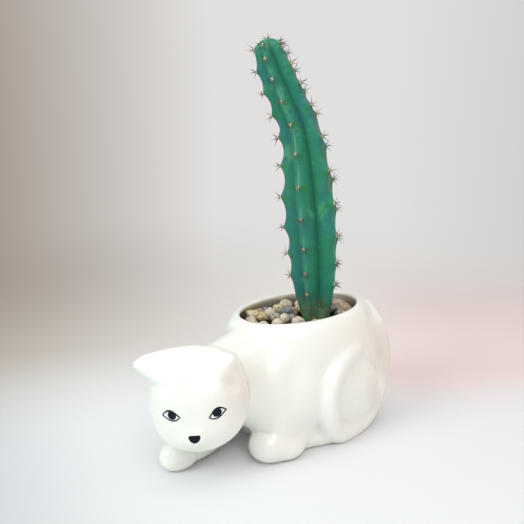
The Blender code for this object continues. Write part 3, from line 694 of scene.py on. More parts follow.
bare = glaze.between(level, *BARE_HEIGHTS)
white = glaze.mix(bare, white, BARE_CLAY)
dull = glaze.sum("ADD", bare, glaze.sum("MULTIPLY", walled, INSIDE_DULLNESS))
size, depth = RIPPLE
ripple = glaze.relief(glaze.noise(size, detail=1), depth)
size, depth = PEEL
glaze.set(
    Base_Color=white,
    Roughness=glaze.between(dull, 0, 1, POLISH, BARE_ROUGHNESS),
    Normal=glaze.relief(glaze.noise(size, detail=2), depth, ripple),
    Coat_Weight=glaze.between(inked, 0, 1, *COAT),
    Coat_Roughness=COAT_ROUGHNESS,
    Specular_IOR_Level=glaze.between(inked, 0, 1, *GLOSS),
)
planter.data.materials.clear()
planter.data.materials.append(glaze.material)
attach(planter, "root")
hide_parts("cat_pot")


# ---------------------------------------------------------------- the soil
# Dark potting soil, poured in and pressed down round the foot of the cactus. It fills the planter up to
# the pebbles, with loose crumbs, bits of bark and a little pale grit on top.

SOIL_GAP = 0.0004
SOIL_TOP = 0.051
# The foot's place and the hole's radius and depth.
FOOT_PLACE = (0.0050, 0.0081)
HOLE_RADIUS, HOLE_DEPTH = 0.0073, 0.0203
SOIL_TURNS, SOIL_ROWS = 180, 70
# How lumpy the top is, the size of its lumps, and the crumbs: how many, sizes, how flat, how uneven and
# how high they lie.
LUMP, LUMP_SIZE = 0.0009, 0.0035
CRUMBS, CRUMB_SIZES, CRUMB_FLAT = 900, (0.00035, 0.0011), (0.5, 0.95)
CRUMB_ROUGH, CRUMB_RISE = 0.25, 0.4
SOIL_SEED = 5
HUMUS_DARK, HUMUS_PALE = (0.018, 0.011, 0.007), (0.085, 0.055, 0.032)
GRIT_TINT, GRIT_SPACING = (0.42, 0.37, 0.28), 0.0021

# The soil's outside from the middle of its underside, up the wall and in over its top: height, half
# width, half length.
profile = [(CAVITY_RINGS[0][0] + SOIL_GAP, 0, 0)]
for height, wide, front, back in CAVITY_RINGS:
    if height < SOIL_TOP:
        profile.append((height + SOIL_GAP, wide - SOIL_GAP, back - SOIL_GAP))
edge_wide = float(np.interp(SOIL_TOP, rings[:, 0], rings[:, 1])) - SOIL_GAP
edge_long = float(np.interp(SOIL_TOP, rings[:, 0], rings[:, 3])) - SOIL_GAP
profile.append((SOIL_TOP, edge_wide, edge_long))
sides = len(profile)
for i in range(1, SOIL_ROWS + 1):
    share = 1 - i / SOIL_ROWS
    profile.append((SOIL_TOP, edge_wide * share, edge_long * share))
ground = bmesh.new()
last = len(profile) - 1
bmesh.ops.create_grid(ground, x_segments=SOIL_TURNS, y_segments=last, size=1)
for vert in ground.verts:
    turn = math.tau * (round((vert.co.x + 1) / 2 * SOIL_TURNS) % SOIL_TURNS) / SOIL_TURNS
    step = round((vert.co.y + 1) / 2 * last)
    height, wide, long = profile[step]
    vert.co = Vector((wide * math.cos(turn), long * math.sin(turn), height))
    if step > sides:
        vert.co.z += LUMP * (0.6 + noise.fractal(vert.co / LUMP_SIZE, 0.8, 2.1, 4))
bmesh.ops.remove_doubles(ground, verts=ground.verts, dist=0.000002)
soil = piece("soil_fill", ground)
hole = bmesh.new()
bmesh.ops.create_cone(
    hole,
    cap_ends=True,
    segments=48,
    radius1=HOLE_RADIUS,
    radius2=HOLE_RADIUS,
    depth=2 * HOLE_DEPTH,
    matrix=Matrix.Translation((*FOOT_PLACE, SOIL_TOP)),
)
hole_tool = cut(soil, hole)
settled(soil, hole_tool)

draw = random.Random(SOIL_SEED)
ground = bmesh.new()
for _ in range(CRUMBS):
    turn, share = draw.uniform(0, math.tau), math.sqrt(draw.random())
    x, y = share * edge_wide * math.cos(turn), share * edge_long * math.sin(turn)
    size = draw.uniform(*CRUMB_SIZES)
    if math.dist((x, y), FOOT_PLACE) < HOLE_RADIUS + size or share * edge_wide > edge_wide - 2 * size:
        continue
    tumble = Matrix.Rotation(draw.uniform(0, math.tau), 4, Vector((draw.random(), draw.random(), 1)))
    flat = [size * draw.uniform(*CRUMB_FLAT) for _ in range(2)]
    shape = Matrix.Diagonal((size, *flat, 1))
    place = Matrix.Translation((x, y, SOIL_TOP + LUMP + CRUMB_RISE * size)) @ tumble @ shape
    made = bmesh.ops.create_icosphere(ground, subdivisions=1, radius=1, matrix=place)
    for vert in made["verts"]:
        vert.co += Vector([draw.uniform(-CRUMB_ROUGH, CRUMB_ROUGH) * size for _ in range(3)])
bmesh.ops.recalc_face_normals(ground, faces=ground.faces)
ground.from_mesh(soil.data)
ground.to_mesh(soil.data)
ground.free()

humus = Finish("potting_soil")
crumb = humus.noise(0.0016, detail=6, roughness=0.7)
brown = humus.mix(humus.between(crumb, 0.35, 0.68), HUMUS_DARK, HUMUS_PALE)
grit = humus.between(humus.cells(GRIT_SPACING), 0.16, 0.10)
drift = humus.between(humus.noise(0.004), 0.55, 0.6)
brown = humus.mix(humus.sum("MULTIPLY", grit, drift), brown, GRIT_TINT)
humus.set(
    Base_Color=brown,
    Roughness=humus.between(crumb, 0.3, 0.7, 0.98, 0.8),
    Specular_IOR_Level=0.25,
    Normal=humus.relief(humus.noise(0.0007, detail=5, roughness=0.7), 0.0004),
)
soil.data.materials.clear()
soil.data.materials.append(humus.material)
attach(soil, "root")
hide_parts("soil")


# ---------------------------------------------------------------- the cactus stem
# A young blue columnar cactus, one living stem with five ribs whose edges are scalloped between the
# areoles. Its waxy skin is blue-green, with green arched growth marks that run down from each areole
# into the valleys, painted shade in the valleys, a pale bloom with a painted highlight along the rib
# edges, and a brown corky base that stands in the soil.

# The stem's middle line and the reach of its ribs, from the soil to the tip: place, radius.
STEM = (
    (0.0050, 0.0081, 0.0515, 0.0070),
    (0.0052, 0.0083, 0.0586, 0.0088),
    (0.0049, 0.0080, 0.0669, 0.0109),
    (0.0045, 0.0076, 0.0780, 0.0130),
    (0.0041, 0.0071, 0.0918, 0.0143),
    (0.0033, 0.0063, 0.1052, 0.0152),
    (0.0023, 0.0052, 0.1186, 0.0152),
    (0.0014, 0.0042, 0.1315, 0.0142),
    (0.0001, 0.0029, 0.1444, 0.0129),
    (-0.0020, 0.0008, 0.1571, 0.0117),
    (-0.0058, -0.0031, 0.1695, 0.0106),
    (-0.0097, -0.0071, 0.1818, 0.0099),
    (-0.0122, -0.0097, 0.1910, 0.0086),
    (-0.0133, -0.0109, 0.1965, 0.0068),
    (-0.0136, -0.0112, 0.1990, 0.0030),
)
STEM_STEPS = 12
# The round foot under the soil: depth, radius.
FOOT = ((0.0200, 0.0035), (0.0193, 0.0055), (0.0175, 0.0067), (0.0150, 0.0070))
RIBS = 5
FIRST_RIB = math.radians(-71)
# Corners of the cross-section from one rib's crest to the next, and how far out each one reaches
# between the valley and the crest.
RIB_CORNERS = ((0, 1.0), (8, 0.84), (20, 0.42), (36, 0.0), (52, 0.42), (64, 0.84), (72, 1.0))
CORNER_STEPS = 4
RIB_DEPTH = 0.46
RIB_START = 0.014
# The height of the first ring of the ribbed stem, over the foot.
FIRST_RING = 0.0006
# How far a rib stands out at an areole, and how far its edge draws in midway to the next one, as a
# share of their spacing. Then the height from which that is full, and the radius below which both
# get less.
AREOLE_RISE = 0.0008
SCALLOP = 0.15
SCALLOP_START = 0.04
SCALLOP_RADIUS = 0.009
RING_SPACING = 0.0006
LINE_STEP = 0.002
# How far apart areoles sit on a rib: height along the stem, spacing. It is read a little above each
# areole, and every rib ends in one at a distance from the tip.
AREOLE_SPACING = (
    (0.025, 0.0113),
    (0.037, 0.0133),
    (0.052, 0.0159),
    (0.085, 0.0170),
    (0.101, 0.0153),
    (0.115, 0.0124),
    (0.127, 0.0116),
    (0.145, 0.0090),
)
SPACING_LEAD = 0.006
TIP_DISTANCE = 0.003
FIRST_AREOLES = (0.0194, 0.0235, 0.0200, 0.0290, 0.0271)
# The growth marks: how far one has dropped at the valley, how much it curves, and its width. Then the
# heights at which they show, as place, reach up and down, strength, and their strength elsewhere.
ARCH_DROP, ARCH_CURVE, ARCH_WIDTH = 0.0118, 2.3, 0.0013
ARCH_SHOWN = ((0.075, 0.022, 1.0), (0.110, 0.014, 0.9), (0.041, 0.012, 0.5))
ARCH_ELSEWHERE = 0.06
# The skin: its two greens, its pale and its dark patches, the marks, the painted shade in the valleys,
# the pale bloom with a painted highlight on the rib edges, and dust.
GREEN, BLUE_GREEN = (0.015, 0.205, 0.118), (0.017, 0.175, 0.158)
PALE_GREEN, DARK_GREEN = (0.062, 0.300, 0.165), (0.008, 0.110, 0.095)
ARCH_GREEN, VALLEY_SHADE_GREEN = (0.018, 0.215, 0.048), (0.008, 0.080, 0.050)
BLOOM_AND_HIGHLIGHT, DUST = (0.13, 0.32, 0.22), (0.12, 0.30, 0.24)
# The rib that has browned, the heights between which that begins, and the brown.
BROWNED_RIB, BROWNED_HEIGHTS, BROWNED = 1.0, (0.066, 0.084), (0.16, 0.10, 0.075)
# Where the young green base and the cork begin and are full, and their tones.
YOUNG_HEIGHTS, YOUNG_GREEN = (0.026, 0.012), (0.042, 0.260, 0.085)
CORK_HEIGHTS, CORK_GREEN, CORK_BROWN = (0.013, 0.001), (0.055, 0.105, 0.055), (0.20, 0.17, 0.12)


class Stem:
    """The stem as a formula: its middle line, frames, ribs and areoles."""

    def __init__(self):
        rows = np.array(list(through(STEM, STEM_STEPS)))
        x, y, _, radius = STEM[0]
        foot = np.array([(x, y, SOIL_TOP - deep, wide) for deep, wide in FOOT])
        self.rows = np.vstack((foot, rows))
        steps = np.linalg.norm(np.diff(self.rows[:, :3], axis=0), axis=1)
        self.heights = np.concatenate(([0], np.cumsum(steps))) - (SOIL_TOP - foot[0, 2])
        self.top = float(self.heights[-1])
        self.areoles = [self.rib_areoles(first) for first in FIRST_AREOLES]

    def rib_areoles(self, height):
        """Heights of one rib's areoles."""
        marks, gaps = zip(*AREOLE_SPACING)
        found = []
        while height < self.top - 2 * TIP_DISTANCE:
            found.append(height)
            height += float(np.interp(height + SPACING_LEAD, marks, gaps))
        return [*found, self.top - TIP_DISTANCE]

    def centre(self, height):
        """The middle of the stem at a height along it."""
        return Vector([float(np.interp(height, self.heights, self.rows[:, i])) for i in range(3)])

    def frame(self, height):
        """The stem's own directions there: two across it and one along it."""
        along = (self.centre(height + LINE_STEP) - self.centre(height - LINE_STEP)).normalized()
        across = Vector((0, 1, 0)).cross(along).normalized()
        return across, along.cross(across), along

    def edges(self, height):
        """The crest's radius there, the valleys' depth, and how each rib's edge rises or draws in."""
        crest = float(np.interp(height, self.heights, self.rows[:, 3]))
        started = min(1.0, max(0.0, height / RIB_START))
        depth = RIB_DEPTH * started * started * (3 - 2 * started)
        marks, gaps = zip(*AREOLE_SPACING)
        gap = float(np.interp(height, marks, gaps))
        edges = []
        for areoles in self.areoles:
            away = min(abs(areole - height) for areole in areoles)
            near = max(0.0, 1 - 2 * away / gap)
            scallop = SCALLOP * gap * min(1, height / SCALLOP_START) * (1 - near * near)
            edges.append(started * min(1, crest / SCALLOP_RADIUS) * (AREOLE_RISE - scallop))
        return crest, depth, edges


stem = Stem()
profile = [corner for corner in through(RIB_CORNERS, CORNER_STEPS)][:-1]
around = RIBS * len(profile)
heights = [-deep for deep, _ in FOOT] + [FIRST_RING]
for mark in sorted(set(sum(stem.areoles, [])) | {stem.top}):
    gap = mark - heights[-1]
    if gap > RING_SPACING / 2:
        steps = math.ceil(gap / RING_SPACING)
        heights += [mark - gap * (1 - i / steps) for i in range(1, steps + 1)]
last = len(heights) - 1
flesh = bmesh.new()
bmesh.ops.create_grid(flesh, x_segments=around, y_segments=last, size=1)
layers = {name: flesh.verts.layers.float.new(name) for name in ("reach", "height", "arch", "rib")}
rows = [(stem.centre(height), stem.frame(height), stem.edges(height)) for height in heights]
for vert in flesh.verts:
    corner = round((vert.co.x + 1) / 2 * around) % around
    ring = round((vert.co.y + 1) / 2 * last)
    rib, step = divmod(corner, len(profile))
    turn, reach = profile[step]
    nearest = (rib + (turn > 180 / RIBS)) % RIBS
    centre, (across, aside, _), (crest, depth, edges) = rows[ring]
    angle = FIRST_RIB + math.radians(rib * 360 / RIBS + turn)
    radius = crest * (1 - depth * (1 - reach)) + reach**3 * edges[nearest]
    vert.co = centre + (across * math.cos(angle) + aside * math.sin(angle)) * radius
    height = heights[ring]
    drop = ARCH_DROP * (1 - reach) ** ARCH_CURVE
    away = min(abs(areole - drop - height) for areole in stem.areoles[nearest])
    vert[layers["reach"]] = reach
    vert[layers["height"]] = height
    vert[layers["arch"]] = math.exp(-((away / ARCH_WIDTH) ** 2))
    vert[layers["rib"]] = nearest
bmesh.ops.remove_doubles(flesh, verts=flesh.verts, dist=0.000001)
bmesh.ops.holes_fill(flesh, edges=[edge for edge in flesh.edges if edge.is_boundary])
cactus = piece("cactus_stem", flesh)

wax = Finish("stem_skin")
reach, height, arch, rib = (wax.noted(name) for name in layers)
cloud = wax.noise(0.009, detail=4, roughness=0.6)
patch = wax.noise(0.019, detail=2)
skin_green = wax.mix(wax.between(patch, 0.40, 0.60), GREEN, BLUE_GREEN)
skin_green = wax.mix(wax.between(cloud, 0.54, 0.72), skin_green, PALE_GREEN)
skin_green = wax.mix(wax.between(cloud, 0.44, 0.26, 0.0, 0.55), skin_green, DARK_GREEN)
shown = ARCH_ELSEWHERE
for place, around_it, strength in ARCH_SHOWN:
    off = wax.sum("ABSOLUTE", wax.sum("SUBTRACT", height, place))
    shown = wax.sum("MAXIMUM", wax.between(off, around_it, around_it / 3, 0.0, strength), shown)
uneven = wax.between(wax.noise(0.010, detail=1), 0.30, 0.55, 0.5, 1.0)
marked = wax.sum("MULTIPLY", arch, wax.sum("MULTIPLY", shown, uneven))
skin_green = wax.mix(marked, skin_green, ARCH_GREEN)
# Painted shade in the valleys between the ribs.
valley = wax.sum("MULTIPLY", wax.between(reach, 0.10, 0.0), 0.7)
skin_green = wax.mix(valley, skin_green, VALLEY_SHADE_GREEN)
# A pale bloom along the rib edges, with a painted highlight.
bloom_and_highlight_patches = wax.between(wax.noise(0.006, detail=3), 0.38, 0.62, 0.1, 0.6)
skin_green = wax.mix(wax.sum("MULTIPLY", wax.between(reach, 0.93, 1.0), bloom_and_highlight_patches), skin_green, BLOOM_AND_HIGHLIGHT)
# One rib has browned along its edge where the sun caught it.
off_rib = wax.sum("ABSOLUTE", wax.sum("SUBTRACT", rib, BROWNED_RIB))
scorched = wax.sum(
    "MULTIPLY", wax.between(off_rib, 0.5, 0.3), wax.between(height, *BROWNED_HEIGHTS)
)
edge = wax.between(wax.sum("MULTIPLY_ADD", wax.noise(0.005, detail=3), 0.30, reach), 1.02, 1.16)
scorched = wax.sum("MULTIPLY", wax.sum("MULTIPLY", scorched, edge), 0.6)
skin_green = wax.mix(scorched, skin_green, BROWNED)
wavy = wax.sum("ADD", height, wax.sum("MULTIPLY", wax.noise(0.008), 0.012))
young = wax.sum("MULTIPLY", wax.between(wavy, *YOUNG_HEIGHTS), wax.between(reach, 1.0, 0.8, 0.2, 0.75))
skin_green = wax.mix(young, skin_green, YOUNG_GREEN)
wavy = wax.sum("ADD", height, wax.sum("MULTIPLY", wax.noise(0.004, detail=5), -0.014))
corky = wax.sum("MULTIPLY", wax.between(wavy, *CORK_HEIGHTS), 0.75)
grain = wax.between(wax.noise(0.0022, detail=6, roughness=0.65), 0.42, 0.66)
skin_green = wax.mix(corky, skin_green, wax.mix(grain, CORK_GREEN, CORK_BROWN))
dusty = wax.between(wax.noise(0.0009, detail=4, roughness=0.65), 0.55, 0.75)
skin_green = wax.mix(wax.sum("MULTIPLY", dusty, 0.25), skin_green, DUST)
swelling = wax.relief(wax.noise(0.005, detail=2), 0.00035)
wax.set(
    Base_Color=skin_green,
    Roughness=wax.between(cloud, 0.3, 0.7, 0.52, 0.40),
    Specular_IOR_Level=0.32,
    Normal=wax.relief(wax.noise(0.0006, detail=3), 0.00004, swelling),
)
cactus.data.materials.append(wax.material)
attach(cactus, "root")
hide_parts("cactus")


# ---------------------------------------------------------------- the areoles' wool
# A small pad of short cream felt at every areole, grown from the rib's edge and turning orange-brown
# with age, from which the spines come.

# A pad's half sizes, how deep it sits and how uneven it is.
WOOL = (0.00075, 0.0005, 0.00090)
WOOL_SINK, WOOL_ROUGH = 0.0002, 0.28
WOOL_SEED = 21
FELT_OLD, FELT_CREAM, FELT_RUST = (0.72, 0.60, 0.44), (0.86, 0.81, 0.68), (0.40, 0.20, 0.09)

draw = random.Random(WOOL_SEED)
felt = bmesh.new()
areole_frames = []
for rib, found in enumerate(stem.areoles):
    angle = FIRST_RIB + math.radians(rib * 360 / RIBS)
    for height in found:
        across, aside, along = stem.frame(height)
        crest, _, edges = stem.edges(height)
        out = across * math.cos(angle) + aside * math.sin(angle)
        side = along.cross(out)
        spot = stem.centre(height) + out * (crest + edges[rib] - WOOL_SINK)
        areole_frames.append((spot, side, out, along))
        turn = Matrix((side, out, along)).transposed().to_4x4()
        place = Matrix.Translation(spot) @ turn @ Matrix.Diagonal((*WOOL, 1))
        made = bmesh.ops.create_icosphere(felt, subdivisions=2, radius=1, matrix=place)
        for vert in made["verts"]:
            vert.co = spot + (vert.co - spot) * draw.uniform(1 - WOOL_ROUGH, 1 + WOOL_ROUGH)
wool = piece("areole_wool", felt)
# The growing point at the very top carries a tuft of young spines too.
across, aside, along = stem.frame(stem.top)
areole_frames.append((stem.centre(stem.top), across, along, aside))

felted = Finish("areole_felt")
tuft = felted.noise(0.0010, detail=4, roughness=0.7)
cream = felted.mix(felted.between(tuft, 0.42, 0.66), FELT_OLD, FELT_CREAM)
felted.set(
    Base_Color=felted.mix(felted.between(felted.noise(0.004), 0.56, 0.70), cream, FELT_RUST),
    Roughness=0.95,
    Specular_IOR_Level=0.2,
    Sheen_Weight=0.5,
    Normal=felted.relief(felted.noise(0.0003, detail=3), 0.0004),
)
wool.data.materials.append(felted.material)
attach(wool, "root")
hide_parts("cactus")


# ---------------------------------------------------------------- the spines
# Short stiff spines, six or seven from each pad of wool, one standing nearly straight out and the rest
# spread all round it. They are horn-like, red-brown with a pale foot and a dark tip.

# How many, how long, how thick at the foot, how deep they sit, and in degrees how far the middle one
# and the others lean.
SPINES, SPINE_LENGTHS = (6, 7), (0.0034, 0.0054)
SPINE_RADIUS, SPINE_SPREAD, SPINE_SINK = 0.00022, (0.8, 1.1), 0.0004
FIRST_LEAN, SPINE_LEANS = (5, 14), (44, 72)
# A spine's sides, cuts along it, blunt tip and bulge, as shares of its foot.
SPINE_SIDES, SPINE_CUTS, SPINE_TIP, SPINE_BULGE = 6, 3, 0.06, 0.25
SPINE_SEED = 8
HORN_DARK, HORN_RED = (0.060, 0.026, 0.032), (0.22, 0.10, 0.075)
HORN_TIP, HORN_FOOT = (0.035, 0.014, 0.016), (0.46, 0.33, 0.24)

draw = random.Random(SPINE_SEED)
thorn = bmesh.new()
bmesh.ops.create_cone(
    thorn, cap_ends=True, segments=SPINE_SIDES, radius1=1, radius2=SPINE_TIP, depth=1,
    matrix=Matrix.Translation((0, 0, 0.5)),
)
long_edges = [edge for edge in thorn.edges if abs(edge.verts[0].co.z - edge.verts[1].co.z) > 0.5]
bmesh.ops.subdivide_edges(thorn, edges=long_edges, cuts=SPINE_CUTS)
along_layer = thorn.verts.layers.float.new("along")
for vert in thorn.verts:
    vert[along_layer] = vert.co.z
    bulge = 1 + SPINE_BULGE * math.sin(math.pi * vert.co.z)
    vert.co.x *= bulge
    vert.co.y *= bulge
thorn_mesh = bpy.data.meshes.new("thorn")
thorn.to_mesh(thorn_mesh)
thorn.free()
horn = bmesh.new()
for spot, side, out, along in areole_frames:
    count = draw.randint(*SPINES)
    start = draw.uniform(0, math.tau)
    for i in range(count):
        lean = math.radians(draw.uniform(*(FIRST_LEAN if i == 0 else SPINE_LEANS)))
        spin = start + math.tau * (i + draw.uniform(-0.2, 0.2)) / (count - 1)
        away = side * math.cos(spin) + along * math.sin(spin)
        direction = out * math.cos(lean) + away * math.sin(lean)
        length = draw.uniform(*SPINE_LENGTHS)
        radius = SPINE_RADIUS * draw.uniform(*SPINE_SPREAD)
        old = len(horn.verts)
        horn.from_mesh(thorn_mesh)
        horn.verts.ensure_lookup_table()
        place = (
            Matrix.Translation(spot - direction * SPINE_SINK)
            @ direction.to_track_quat("Z", "Y").to_matrix().to_4x4()
            @ Matrix.Diagonal((radius, radius, length, 1))
        )
        bmesh.ops.transform(horn, matrix=place, verts=horn.verts[old:])
bpy.data.meshes.remove(thorn_mesh)
spines = piece("spines", horn)

horny = Finish("spine_horn")
along = horny.noted("along")
tone = horny.noise(0.012, detail=1)
shaft = horny.mix(horny.between(tone, 0.46, 0.66), HORN_DARK, HORN_RED)
shaft = horny.mix(horny.between(along, 0.45, 1.0), shaft, HORN_TIP)
shaft = horny.mix(horny.between(along, 0.30, 0.05), shaft, HORN_FOOT)
horny.set(Base_Color=shaft, Roughness=0.45)
spines.data.materials.append(horny.material)
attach(spines, "root")
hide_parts("cactus")


# ---------------------------------------------------------------- the pebbles
# Loose river gravel of mixed kinds, laid on the soil round the stem: pale quartz, a banded pink-brown
# stone, grey granite, yellow stones crusted with crystals, and blue-grey slate. Tumbled and dull.

# The grid and rounds that round a pebble's corners off, and how far its skin may swell.
PEBBLE_GRID, PEBBLE_ROUNDS = 0.00034, 6
PEBBLE_SWELL = 0.00018
# The relief of worn stone: size and depth of its dents, then of its grain, and how far they lie under
# the skin.
DENTS, DENT_LEVEL = ((0.0046, 0.00065), (0.0022, 0.00028), (0.0009, 0.00010)), 0.05
# Which stone each pebble is of, in the order of their numbers.
PEBBLE_KINDS = (
    1, 2, 3, 1, 0, 2, 3, 3, 4, 0, 0, 0, 3, 0, 1, 2, 3, 4, 0, 1, 2,
    3, 4, 0, 1, 2, 3, 4, 0, 1, 4, 2, 4, 2, 3, 0, 1, 0, 3, 4, 4, 1,
)


def stone(name, tones, mottle, speckle, sizes, depth, roughness, flat=1.0):
    """A stone's finish: three mottled tones, in flat beds on some, and specks of one more colour."""
    rock = Finish(name)
    size, grain = sizes
    first, second, third = tones
    specks, speck_tone = speckle
    beds = rock.placed((0, 0, 0), (0.35, 0.2, 0), (1, 1, flat))
    broad = rock.noise(size, detail=4, roughness=0.6, warp=0.3, spot=beds)
    narrow = rock.noise(size * 0.45, detail=5, roughness=0.65, spot=beds)
    colour = rock.mix(rock.between(broad, *mottle[0]), first, second)
    colour = rock.mix(rock.between(narrow, *mottle[1]), colour, third)
    fleck = rock.between(rock.noise(grain, detail=5, roughness=0.75), *specks)
    rock.set(
        Base_Color=rock.mix(fleck, colour, speck_tone),
        Roughness=rock.between(broad, 0.3, 0.7, roughness, roughness - 0.2),
        Normal=rock.relief(rock.noise(0.0007, detail=6, roughness=0.7), depth),
    )
    return rock.material


stones = [
    stone(
        "pale_quartz",
        ((0.66, 0.57, 0.44), (0.40, 0.31, 0.21), (0.78, 0.73, 0.63)),
        ((0.48, 0.62), (0.50, 0.60)),
        ((0.60, 0.66), (0.17, 0.11, 0.06)),
        (0.0045, 0.0012), 0.00026, 0.72,
    ),
    stone(
        "pink_stone",
        ((0.44, 0.27, 0.20), (0.66, 0.54, 0.42), (0.27, 0.17, 0.13)),
        ((0.42, 0.58), (0.56, 0.64)),
        ((0.62, 0.68), (0.10, 0.06, 0.05)),
        (0.0050, 0.0013), 0.00022, 0.74, 0.4,
    ),
    stone(
        "grey_granite",
        ((0.40, 0.36, 0.29), (0.58, 0.53, 0.44), (0.20, 0.17, 0.13)),
        ((0.44, 0.58), (0.52, 0.61)),
        ((0.57, 0.64), (0.09, 0.07, 0.05)),
        (0.0038, 0.0010), 0.00026, 0.78,
    ),
    stone(
        "yellow_crusted",
        ((0.50, 0.37, 0.15), (0.72, 0.64, 0.44), (0.17, 0.13, 0.05)),
        ((0.42, 0.56), (0.53, 0.60)),
        ((0.57, 0.62), (0.82, 0.62, 0.16)),
        (0.0034, 0.0012), 0.00050, 0.66,
    ),
    stone(
        "blue_slate",
        ((0.17, 0.19, 0.19), (0.32, 0.34, 0.33), (0.09, 0.105, 0.11)),
        ((0.44, 0.60), (0.52, 0.62)),
        ((0.62, 0.68), (0.46, 0.44, 0.38)),
        (0.0046, 0.0010), 0.00018, 0.60, 0.5,
    ),
]
for number, kind in enumerate(PEBBLE_KINDS, 1):
    node = f"pebble_{number:02d}"
    rough = bmesh.new()
    rough.from_mesh(frame["nodes"][node].data)
    bmesh.ops.remove_doubles(rough, verts=rough.verts, dist=0.000002)
    pebble = piece(f"stone_{number:02d}", rough)
    skin(pebble, PEBBLE_GRID)
    soften(pebble, PEBBLE_ROUNDS)
    settled(pebble)
    worn = bmesh.new()
    worn.from_mesh(pebble.data)
    for vert in worn.verts:
        dent = sum(depth * (noise.noise(vert.co / size) - DENT_LEVEL) for size, depth in DENTS)
        vert.co += vert.normal * (PEBBLE_SWELL + min(dent, PEBBLE_SWELL))
    worn.to_mesh(pebble.data)
    worn.free()
    pebble.data.shade_smooth()
    pebble.data.materials.clear()
    pebble.data.materials.append(stones[kind])
    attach(pebble, "root")
    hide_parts(node)


# ---------------------------------------------------------------- the room, the light and the camera
# A pale table that fades into a pale room, soft light from large panels on the left, in front and
# above, and a camera a little above the planter, in front of its left shoulder.

# The camera's place in millimetres, in its own directions: sideways, back, up. Then the picture's width
# and the lens's length in its pixels, and the width of the film.
CAMERA_TURN, CAMERA_PITCH = math.radians(46), math.radians(11)
CAMERA_PLACE = (-20.2, -315.4, 147.0)
PICTURE_WIDTH, LENS_LENGTH, FILM_WIDTH = 524, 602, 36
right = Vector((math.cos(CAMERA_TURN), math.sin(CAMERA_TURN), 0))
level = Vector((-math.sin(CAMERA_TURN), math.cos(CAMERA_TURN), 0))
forward = level * math.cos(CAMERA_PITCH) - Vector((0, 0, math.sin(CAMERA_PITCH)))
upward = level * math.sin(CAMERA_PITCH) + Vector((0, 0, math.cos(CAMERA_PITCH)))
lens = bpy.data.cameras.new("camera")
lens.sensor_width = FILM_WIDTH
lens.lens = LENS_LENGTH / PICTURE_WIDTH * FILM_WIDTH
lens.clip_start = 0.01
camera = bpy.data.objects.new("camera", lens)
turned = Matrix((right, upward, -forward)).transposed().to_4x4()
sideways, back, up = CAMERA_PLACE
turned.translation = (right * sideways + level * back + Vector((0, 0, up))) * MILLIMETRE
camera.matrix_world = turned
bpy.context.scene.collection.objects.link(camera)
bpy.context.scene.camera = camera


TABLE_REACH = 1.3
# How the table fades into the room, by one over its distance from about the camera.
FADE_FROM, FADE_START, FADE_END = 0.315, 2.1, 0.70
# Where the paper's near tones give way to its far ones: the slant of that line, its start and its end.
SWEEP_SLANT, SWEEP_START, SWEEP_END = 0.512, 0.02, 0.20
# The paper's tones: painted cool shade at the near left and pale beside it, painted shade behind at the
# left going paler to the right, and painted pink light at the right, far and near.
TABLE_NEAR_LEFT_SHADE, TABLE_NEAR = (0.50, 0.545, 0.57), (0.78, 0.80, 0.82)
TABLE_BEHIND_SHADE, TABLE_PALE, TABLE_FAR_PINK_LIGHT = (0.37, 0.32, 0.275), (0.80, 0.785, 0.765), (0.74, 0.585, 0.57)
TABLE_NEAR_PINK_LIGHT = (0.83, 0.70, 0.69)
# The large soft lights, each placed as the camera sees it and turned to the planter: name, sideways,
# back, up, size, power, tint.
PANELS = (
    ("panel_left", -0.66, -0.46, 0.56, 0.5, 3.75, (0.90, 0.99, 1.0)),
    ("panel_front", 0.20, -0.62, 0.72, 0.5, 1.55, (1.0, 0.995, 0.97)),
    ("panel_top", 0.05, -0.05, 0.95, 0.9, 2.05, (0.985, 1.0, 0.99)),
)
PANEL_TARGET = Vector((0, 0, 0.06))
# The room's own tones, from the left of the picture to the right.
ROOM_DARK, ROOM_PALE, ROOM_RIGHT = (0.39, 0.335, 0.29), (0.76, 0.745, 0.735), (0.54, 0.535, 0.53)
ROOM_COOL, ROOM_PINK = (0.68, 0.745, 0.735), (0.83, 0.61, 0.56)

table_top = bmesh.new()
bmesh.ops.create_circle(table_top, cap_ends=True, segments=96, radius=TABLE_REACH)
table = piece("table", table_top)
paper = Finish("pale_table")
own = paper.placed((0, 0, 0), (0, 0, CAMERA_TURN))
x, y, _ = paper.parts(own)
sweep = paper.sum("SUBTRACT", y, paper.sum("MULTIPLY", x, SWEEP_SLANT))
# Painted shade behind at the left, and painted pink light behind at the right.
behind = paper.mix(paper.between(x, -0.32, 0.05), TABLE_BEHIND_SHADE, TABLE_PALE)
pink = paper.sum("MULTIPLY", paper.between(x, 0.02, 0.16), paper.between(y, 0.62, 0.12))
behind = paper.mix(pink, behind, TABLE_FAR_PINK_LIGHT)
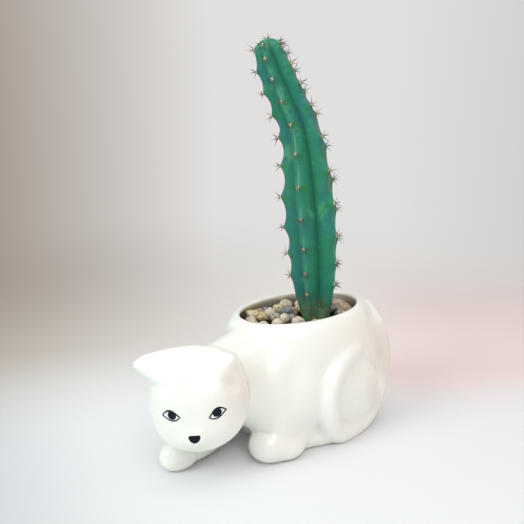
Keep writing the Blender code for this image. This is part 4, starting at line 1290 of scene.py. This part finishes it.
# Painted cool shade at the near left, and painted pink light at the near right.
across = paper.between(paper.sum("MULTIPLY_ADD", y, 0.6, x), -0.23, -0.09)
before = paper.mix(across, TABLE_NEAR_LEFT_SHADE, TABLE_NEAR)
near_pink_light = paper.sum("MULTIPLY", paper.between(y, -0.01, 0.07), paper.between(x, 0.02, 0.07))
before = paper.mix(near_pink_light, before, TABLE_NEAR_PINK_LIGHT)
faded = paper.sum("DIVIDE", 1.0, paper.sum("ADD", paper.length(x, y), FADE_FROM))
paper.set(
    Base_Color=paper.mix(paper.between(sweep, SWEEP_START, SWEEP_END), before, behind),
    Roughness=0.6,
    Specular_IOR_Level=0.2,
    Alpha=paper.between(faded, FADE_END, FADE_START),
)
table.data.materials.append(paper.material)


for name, sideways, back, up, size, power, tint in PANELS:
    light = bpy.data.lights.new(name, "AREA")
    light.shape = "DISK"
    light.size = size
    light.energy = power
    light.color = tint
    lamp = bpy.data.objects.new(name, light)
    lamp.location = right * sideways + level * back + Vector((0, 0, up))
    lamp.rotation_euler = (lamp.location - PANEL_TARGET).to_track_quat("Z", "Y").to_euler()
    bpy.context.scene.collection.objects.link(lamp)

world = bpy.data.worlds.new("room")
bpy.context.scene.world = world
world.use_nodes = True
room = world.node_tree
facing = room.nodes.new("ShaderNodeTexCoord").outputs["Generated"]
rightward = room.nodes.new("ShaderNodeVectorMath")
rightward.operation = "DOT_PRODUCT"
room.links.new(facing, rightward.inputs[0])
rightward.inputs[1].default_value = right
walls = room.nodes.new("ShaderNodeValToRGB")
tones = (
    (0.08, ROOM_COOL),
    (0.30, ROOM_DARK),
    (0.46, ROOM_PALE),
    (0.60, ROOM_PALE),
    (0.80, ROOM_RIGHT),
    (0.95, ROOM_PINK),
)
for _ in tones[2:]:
    walls.color_ramp.elements.new(0.5)
for element, (place, tone) in zip(walls.color_ramp.elements, tones):
    element.position = place
    element.color = (*tone, 1)
shift = room.nodes.new("ShaderNodeMapRange")
shift.inputs["From Min"].default_value = -1
room.links.new(rightward.outputs["Value"], shift.inputs["Value"])
room.links.new(shift.outputs[0], walls.inputs["Fac"])
room.links.new(walls.outputs["Color"], room.nodes["Background"].inputs["Color"])
room.nodes["Background"].inputs["Strength"].default_value = 1.0
bpy.context.scene.view_settings.view_transform = "Standard"
